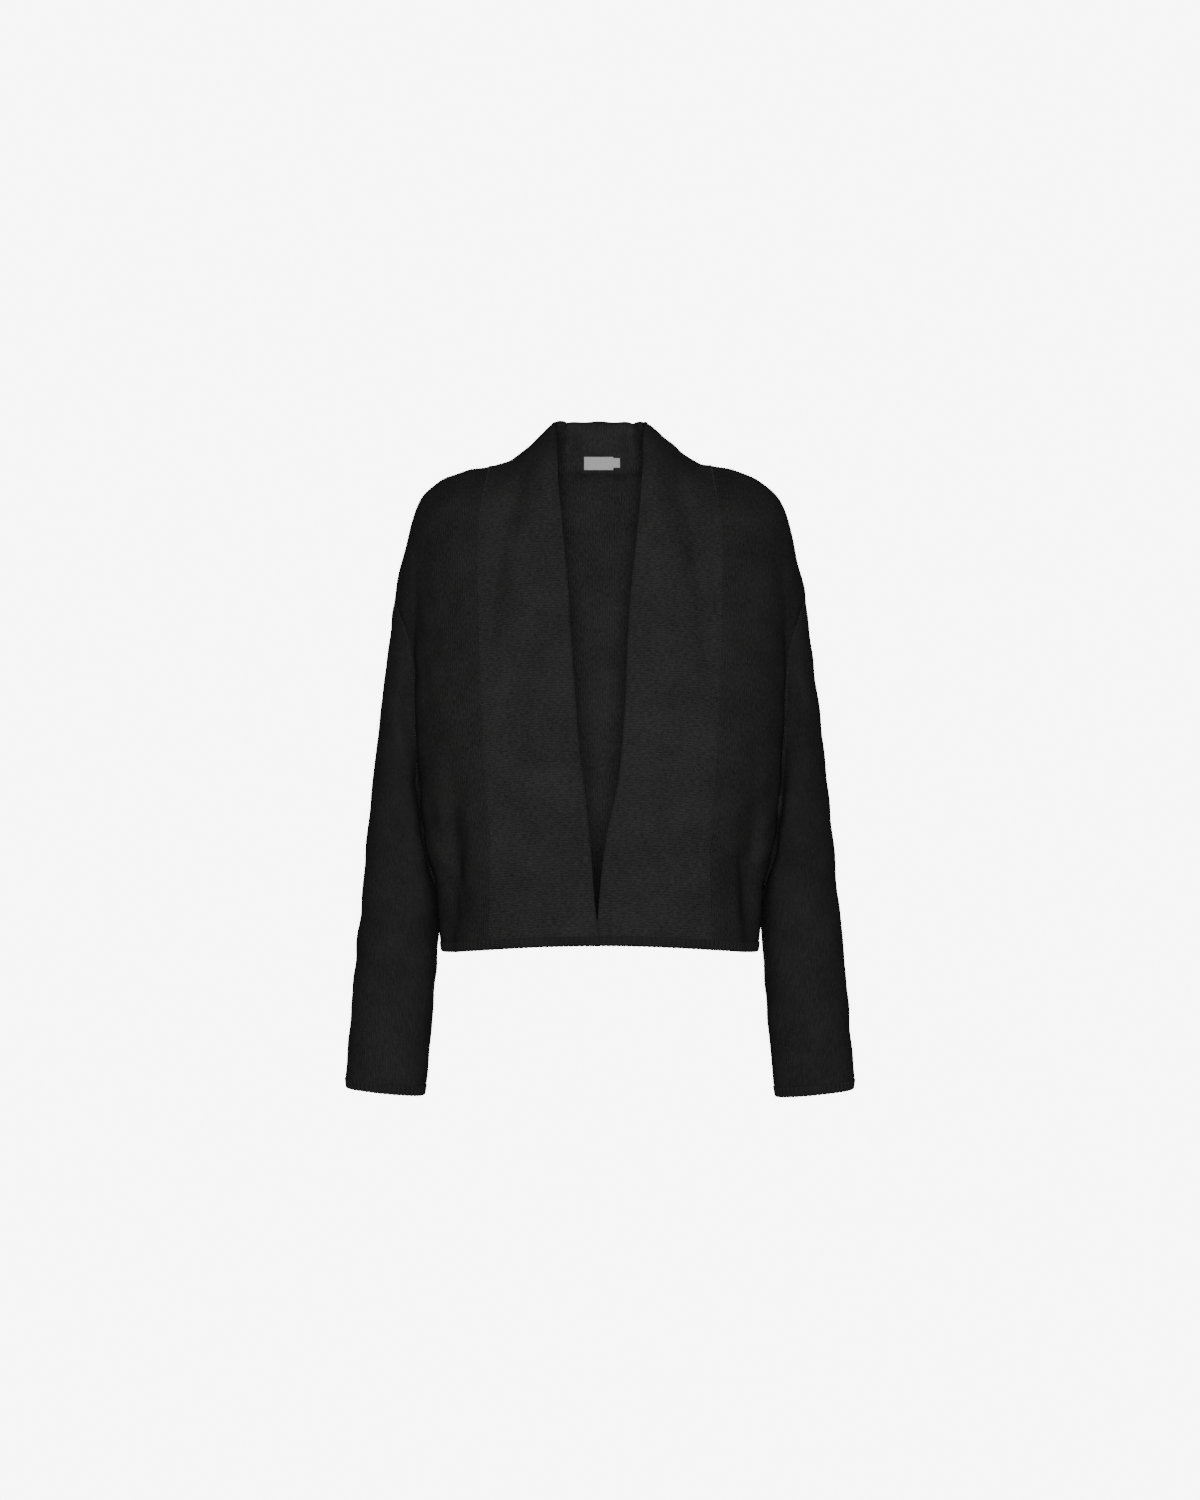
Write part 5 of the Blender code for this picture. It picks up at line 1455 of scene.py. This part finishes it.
@dataclass
class Ribs:
    """The fine 1x1 rib at the hem and the cuffs."""

    panels: Panels
    pitch: float = 0.0052
    height: float = 0.010
    proud: float = 0.0010
    sunk: float = 0.0002
    draw_in: float = 0.0012
    draw_power: float = 1.5
    lip: float = 0.0008
    steps: int = 8
    rows: int = 6

    def columns(self, line: Points) -> int:
        """How many columns the ribs that fit on a line take."""
        return self.steps * max(1, round(arc_lengths(line)[-1] / self.pitch))

    def relief(self, columns: int) -> Points:
        """Rounded ribs with narrow valleys between them, for every row."""
        turn = np.arange(columns) * math.pi / self.steps
        return np.tile(self.proud * np.abs(np.sin(turn)) - self.sunk, (self.rows + 1, 1))

    def hem_strip(self, panel: ClothWall) -> ClothWall:
        """The rib under a panel's lower edge, on the panel's own sides."""
        line = spaced(panel.grid[0], self.columns(panel.grid[0]))
        drop = np.linspace(self.height, 0.0, self.rows + 1)
        grid = line - drop[:, None, None] * UP
        sewn = tuple(edge for edge in panel.sewn if edge != "first")
        return ClothWall("hem_rib_" + panel.name, grid, sewn, raised=self.relief(len(line)),
                         level=(slice(None), UP), edge_roll=0.0, lip=self.lip)

    def cuff(self, side: Side) -> ClothWall:
        """The rib at a sleeve's end, hung from the sleeve's last row."""
        edge = self.panels.walls["sleeve_" + side.word].grid[-1]
        loop = np.concatenate((edge, edge[:1]))
        count = self.columns(loop)
        fine = np.linspace(0.0, math.tau, self.panels.pattern.fine + 1)
        rings = [spaced(SleeveGrids.ring_points(ring, fine), count)[:-1] for ring in (RINGS[-1], CUFF_END)]
        move = rings[1] - rings[0]
        if side is Side.RIGHT:
            move = np.roll(mirrored(move[None])[0], 1, axis=0)
            loop = np.concatenate((edge[-1:], edge))
        top = spaced(loop, count)[:-1]
        share = np.linspace(0.0, 1.0, self.rows + 1)
        grid = top + share[:, None, None] * move
        return ClothWall("cuff_rib_" + side.word, grid, ("first",), closed=True,
                         raised=self.relief(count), level=(0, Panels.arm_axis(side)),
                         edge_roll=0.0, lip=self.lip)

    def build(self, finish: bpy.types.Material) -> dict[str, bpy.types.Object]:
        """Makes the ribs' objects and lists each under the panel that it finishes."""
        strips = [self.hem_strip(wall) for wall in self.panels.walls.values() if not wall.closed]
        share_seam_normals(strips)
        inward = np.linspace(1.0, 0.0, self.rows + 1)[:, None, None] ** self.draw_power * self.draw_in
        for strip in strips:
            strip.turn_level()
            strip.grid = strip.grid - strip.normals * inward
        cuffs = [self.cuff(side) for side in Side]
        for cuff in cuffs:
            cuff.turn_level()
        items = {}
        for strip in strips + cuffs:
            strip.shape_edges()
            panel = strip.name.replace("hem_rib_", "").replace("cuff_rib_", "sleeve_")
            items[panel] = declare(strip.build(finish), strip.name)
        return items


class TagSize(NamedTuple):
    """The sides of a satin tag, in metres, how far it stands from the wall and its columns."""

    node: str
    left: float
    right: float
    bottom: float
    top: float
    thickness: float
    stand_off: float
    columns: int


@dataclass(frozen=True)
class NeckTags:
    """The blank label and the tab at the nape, inside the collar."""

    tags: tuple[TagSize, ...] = (
        TagSize("size_tab", 0.0075, 0.0213, -0.0004, 0.0100, 0.0005, 0.0004, 12),
        TagSize("neck_label", -0.0170, 0.0143, -0.0030, 0.0112, 0.0006, 0.0012, 24),
    )
    probe_from: float = 0.020
    probes: int = 8
    rows: int = 8
    curl: float = 0.0006

    def wall(self, size: TagSize, walls: BVHTree) -> ClothWall:
        """A tag that follows the inside of the neck, with its lower corners curled a little."""
        across = np.linspace(size.left, size.right, size.columns + 1)
        heights = np.linspace(size.bottom, size.top, self.probes)
        depth = []
        for x in across:
            starts = [Vector((x, self.probe_from, z)) for z in heights]
            hits = [walls.ray_cast(start, Vector((0.0, 1.0, 0.0)))[0] for start in starts]
            depth.append(min(hit.y for hit in hits if hit is not None))
        depth = spline([0, 1, 2], np.interp([size.left, (size.left + size.right) / 2, size.right],
                                            across, depth), np.linspace(0, 2, len(across)))
        share = np.linspace(0.0, 1.0, self.rows + 1)[:, None]
        height = size.bottom + share * (size.top - size.bottom) + 0.0 * across
        side = np.abs(np.linspace(-1.0, 1.0, len(across)))
        lift = self.curl * (1.0 - share) ** 2 * (0.3 + side ** 3)
        y = depth - size.stand_off - size.thickness - lift
        grid = np.stack((across + 0.0 * share, y, height), axis=2)
        return ClothWall(size.node, grid, (), thickness=size.thickness, lip=0.0004, edge_roll=0.0,
                         round_points=2)

    def build(self, around: Iterable[bpy.types.Object], finish: bpy.types.Material
              ) -> dict[str, bpy.types.Object]:
        """Makes the tags against the walls around them."""
        points, faces = [], []
        for item in around:
            start = len(points)
            points.extend(vertex.co.copy() for vertex in item.data.vertices)
            faces.extend(tuple(index + start for index in face.vertices) for face in item.data.polygons)
        walls = BVHTree.FromPolygons(points, faces)
        items = {}
        for size in self.tags:
            wall = self.wall(size, walls)
            wall.shape_edges()
            items[size.node] = declare(wall.build(finish), size.node)
        return items


@dataclass
class Stitching:
    """The linking thread: a small bead of yarn for each stitch along the seams."""

    panels: Panels
    pitch: float = 0.0030
    length: float = 0.0019
    width: float = 0.0010
    sink: float = 0.0001
    slant: float = 0.55
    sides: int = 6
    waists: tuple[float, ...] = (-0.6, 0.0, 0.6)

    def seams(self) -> list[tuple[Points, Points]]:
        """Points and normals along every linked seam."""
        walls, rows = self.panels.walls, self.panels.pattern.side_rows + 1
        lines = []
        for side, seam, outside in ((Side.LEFT, -1, 0), (Side.RIGHT, 0, -1)):
            band, front = walls["band_" + side.word], walls["front_" + side.word]
            sleeve = walls["sleeve_" + side.word]
            lines.append((band.grid[:, seam], band.normals[:, seam]))
            lines.append((front.grid[-1], front.normals[-1]))
            lines.append((front.grid[:rows, seam], front.normals[:rows, seam]))
            lines.append((np.concatenate((sleeve.grid[0], sleeve.grid[0, :1])),
                          np.concatenate((sleeve.normals[0], sleeve.normals[0, :1]))))
            lines.append((sleeve.grid[:, outside], sleeve.normals[:, outside]))
        lines.append((walls["band_left"].grid[-1], walls["band_left"].normals[-1]))
        return lines

    def bead(self) -> tuple[Points, Points]:
        """One bead's points, along X, and its faces."""
        turn = np.arange(self.sides) * math.tau / self.sides
        points = [(-1.0, 0.0, 0.0)]
        for waist in self.waists:
            radius = math.sqrt(1.0 - waist ** 2)
            points += [(waist, radius * math.cos(angle), radius * math.sin(angle)) for angle in turn]
        points.append((1.0, 0.0, 0.0))
        faces = []
        for k in range(self.sides):
            after = (k + 1) % self.sides
            faces.append((0, 1 + after, 1 + k))
            for ring in range(len(self.waists) - 1):
                a, b = 1 + ring * self.sides + k, 1 + ring * self.sides + after
                faces += [(a, b, b + self.sides), (a, b + self.sides, a + self.sides)]
            last = 1 + (len(self.waists) - 1) * self.sides
            faces.append((last + k, last + after, len(points) - 1))
        return np.array(points), np.array(faces)

    def build(self, finish: bpy.types.Material) -> bpy.types.Object:
        """Makes all the beads as one object."""
        shape, faces = self.bead()
        shape = shape * (self.length / 2, self.width / 2, self.width / 2)
        centres, frames = [], []
        for points, normals in self.seams():
            length = arc_lengths(points)
            at = np.arange(self.pitch, length[-1] - self.pitch, self.pitch)
            run = unit(along(points, at + self.pitch / 4) - along(points, at - self.pitch / 4))
            out = unit(np.stack([np.interp(at, length, normals[:, axis]) for axis in range(3)], axis=1))
            out = unit(out - run * np.sum(out * run, axis=1)[:, None])
            across = np.cross(out, run)
            lean = np.where(np.arange(len(at)) % 2, self.slant, -self.slant)[:, None]
            axis = unit(across + run * lean)
            centres.append(along(points, at) - out * self.sink)
            frames.append(np.stack((axis, np.cross(out, axis), out), axis=1))
        centres, frames = np.concatenate(centres), np.concatenate(frames)
        points = np.einsum("pi,bij->bpj", shape, frames) + centres[:, None]
        every = faces[None] + (np.arange(len(centres)) * len(shape))[:, None, None]
        maker = MeshMaker(points.reshape(-1, 3), np.zeros((1, 2)))
        maker.add(every.reshape(-1, 3), np.zeros((every.size // 3, 3), dtype=int))
        return declare(maker.build("linking_stitches", finish, sharp=80.0))


@dataclass
class Nap:
    """Loose fibres that stand out from the brushed knit."""

    seed: int = 20
    per_square_metre: float = 38000.0
    shortest: float = 0.0030
    longest: float = 0.0075
    radius: float = 0.00006
    waist: float = 0.8
    lift: tuple[float, float] = (0.30, 0.95)
    bend: tuple[float, float] = (-0.2, 0.9)
    wander: float = 0.5
    sag: float = 0.5
    root: float = 0.0004

    def build(self, wall: ClothWall, finish: bpy.types.Material) -> bpy.types.Object:
        """Makes the fibres of one panel.

        Args:
            wall: The panel, with its final points.
            finish: The fibres' material.

        Returns:
            One object with all the fibres, each a thin bent spike.
        """
        rng = np.random.default_rng(self.seed + sum(map(ord, wall.name)))
        grid, normals = wall.grid, wall.normals
        if wall.closed:
            grid = np.concatenate((grid, grid[:, :1]), axis=1)
            normals = np.concatenate((normals, normals[:, :1]), axis=1)
        sides = np.cross(grid[1:, 1:] - grid[:-1, :-1], grid[1:, :-1] - grid[:-1, 1:])
        areas = np.linalg.norm(sides, axis=2).ravel() / 2
        count = int(areas.sum() * self.per_square_metre)
        rows, lines = np.unravel_index(rng.choice(len(areas), count, p=areas / areas.sum()), sides.shape[:2])
        s, t = rng.random((2, count, 1))
        start, normal = [
            values[rows, lines] * (1 - s) * (1 - t) + values[rows, lines + 1] * s * (1 - t)
            + values[rows + 1, lines] * (1 - s) * t + values[rows + 1, lines + 1] * s * t
            for values in (grid, normals)
        ]
        flow = rng.normal(size=(count, 3)) - self.sag * UP
        flow = unit(flow - normal * np.sum(flow * normal, axis=1)[:, None])
        length = rng.uniform(self.shortest, self.longest, (count, 1))
        lift = rng.uniform(*self.lift, (count, 1))
        bend = lift * rng.uniform(*self.bend, (count, 1))
        turn = unit(flow + self.wander * rng.normal(size=(count, 3)))
        middle = start + length * 0.5 * (flow * np.cos(lift) + normal * np.sin(lift))
        tip = middle + length * 0.5 * (turn * np.cos(bend) + normal * np.sin(bend))
        side = unit(np.cross(flow, normal))
        ring = [side * math.cos(angle) + normal * math.sin(angle)
                for angle in (math.tau * k / 3 for k in range(3))]
        base = [start - normal * self.root + spoke * self.radius for spoke in ring]
        waist = [middle + spoke * self.radius * self.waist for spoke in ring]
        points = np.stack(base + waist + [tip], axis=1)
        faces = [(2, 1, 0)]
        for k in range(3):
            after = (k + 1) % 3
            faces += [(k, after, 3 + after), (k, 3 + after, 3 + k), (3 + k, 3 + after, 6)]
        every = np.array(faces)[None] + (np.arange(count) * points.shape[1])[:, None, None]
        maker = MeshMaker(points.reshape(-1, 3), np.zeros((1, 2)))
        maker.add(every.reshape(-1, 3), np.zeros((every.size // 3, 3), dtype=int))
        return declare(maker.build("nap_" + wall.name, finish, sharp=180.0))


# ================================================================================ studio
@dataclass(frozen=True)
class Studio:
    """A pale, softly lit studio, with a second light behind the garment for the other views."""

    backdrop: Colour = (1.0, 1.0, 1.0, 1.0)
    backdrop_shown: float = 8.0
    surround: float = 0.12
    floor_size: float = 14.0
    floor_height: float = -1.35
    camera_place: Place = (0.0, -4.0, -0.301)
    lens: float = 91.4
    light_place: Place = (0.0, -5.3, 0.1)
    light_size: float = 1.0
    light_power: float = 455.0
    rear_place: Place = (0.0, 5.2, -0.7)
    rear_size: float = 1.2
    rear_power: float = 300.0
    aim: Place = (0.0, 0.0, -0.3)

    def sky(self) -> None:
        """Sets an even pale surround that shows brighter than it shines."""
        world = bpy.data.worlds.new("studio")
        world.use_nodes = True
        tree = world.node_tree
        background = tree.nodes["Background"]
        background.inputs["Color"].default_value = self.backdrop
        seen = tree.nodes.new("ShaderNodeLightPath")
        strength = tree.nodes.new("ShaderNodeMapRange")
        strength.inputs["To Min"].default_value = self.surround
        strength.inputs["To Max"].default_value = self.backdrop_shown
        tree.links.new(seen.outputs["Is Camera Ray"], strength.inputs["Value"])
        tree.links.new(strength.outputs["Result"], background.inputs["Strength"])
        bpy.context.scene.world = world

    def floor(self) -> None:
        """Adds a plain floor, as pale as the surround, well below the garment and lighting nothing."""
        bpy.ops.mesh.primitive_plane_add(size=self.floor_size, location=(0.0, 0.0, 0.0))
        item = bpy.context.object
        item.name = "floor"
        item.data.transform(Matrix.Translation((0.0, 0.0, self.floor_height)))
        graph = Graph("floor")
        graph.constants(Base_Color=(0.0, 0.0, 0.0, 1.0), Specular_IOR_Level=0.0,
                        Emission_Color=self.backdrop, Emission_Strength=self.backdrop_shown)
        item.data.materials.append(graph.material)
        item.visible_diffuse = False
        item.visible_glossy = False
        item.visible_shadow = False

    def soft_light(self, name: str, place: Place, size: float, power: float) -> None:
        """Adds a round soft light that faces the garment.

        Args:
            name: The light's name.
            place: Where it stands.
            size: How wide it is, in metres.
            power: Its power, in watts.
        """
        light = bpy.data.lights.new(name, "AREA")
        light.shape = "DISK"
        light.size = size
        light.energy = power
        item = bpy.data.objects.new(name, light)
        item.location = place
        item.rotation_euler = (Vector(self.aim) - item.location).to_track_quat("-Z", "Y").to_euler()
        bpy.context.scene.collection.objects.link(item)

    def camera(self) -> None:
        """Adds the camera, level with the middle of the picture."""
        data = bpy.data.cameras.new("camera")
        data.lens = self.lens
        data.sensor_width = 36.0
        item = bpy.data.objects.new("camera", data)
        item.location = self.camera_place
        item.rotation_euler = (math.pi / 2, 0.0, 0.0)
        bpy.context.scene.collection.objects.link(item)
        bpy.context.scene.camera = item

    def build(self) -> None:
        """Sets up the whole studio."""
        self.sky()
        self.floor()
        self.soft_light("front_light", self.light_place, self.light_size, self.light_power)
        self.soft_light("rear_light", self.rear_place, self.rear_size, self.rear_power)
        self.camera()


# ================================================================================ the flat cut
class Cut(NamedTuple):
    """The flat cut of a piece, in metres and square metres."""

    node: str
    width: float
    length: float
    area: float


# Taken from the modelled panels as worn, and not from a pattern.
CUTS = (
    Cut("back", 0.600, 0.566, 0.2366),
    *(Cut("front_" + side.word, 0.162, 0.540, 0.0629) for side in Side),
    *(Cut("band_" + side.word, 0.119, 0.721, 0.0623) for side in Side),
    *(Cut("sleeve_" + side.word, 0.317, 0.504, 0.1105) for side in Side),
    Cut("neck_label", 0.0313, 0.0142, 0.00044),
    Cut("size_tab", 0.0138, 0.0104, 0.00014),
)


def main() -> None:
    """Builds the cardigan in the studio, piece by piece."""
    logging.basicConfig(level=logging.INFO, format="%(name)s: %(message)s")
    Studio().build()
    knit, rib, satin = KnitFinish().make(), RibFinish().make(), SatinFinish().make()
    painted_shade, thread, loose = PAINTED_SHADE_KNIT.make(), HIGHLIT_LINKING_THREAD.make(), LOOSE_FIBRE.make()
    panels = Panels(Pattern(BodyForm()), Creases(CREASES))
    stitches = Stitching(panels).build(thread)
    ribs = Ribs(panels).build(rib)
    items = panels.build(knit, painted_shade)
    around = [items[name] for name in ("back", "band_left", "band_right")]
    tags = NeckTags().build(around, satin)
    naps = {name: Nap().build(wall, loose) for name, wall in panels.walls.items()}
    for cut in CUTS:
        if cut.node in tags:
            continue
        LOG.info("%s: %.3f by %.3f m as cut, %.3f by %.3f m as worn", cut.node, cut.width, cut.length,
                 *panels.walls[cut.node].flat_size)
        added = [ribs[cut.node], naps[cut.node]] + [stitches] * (cut.node == "back")


if __name__ == "__main__":
    main()
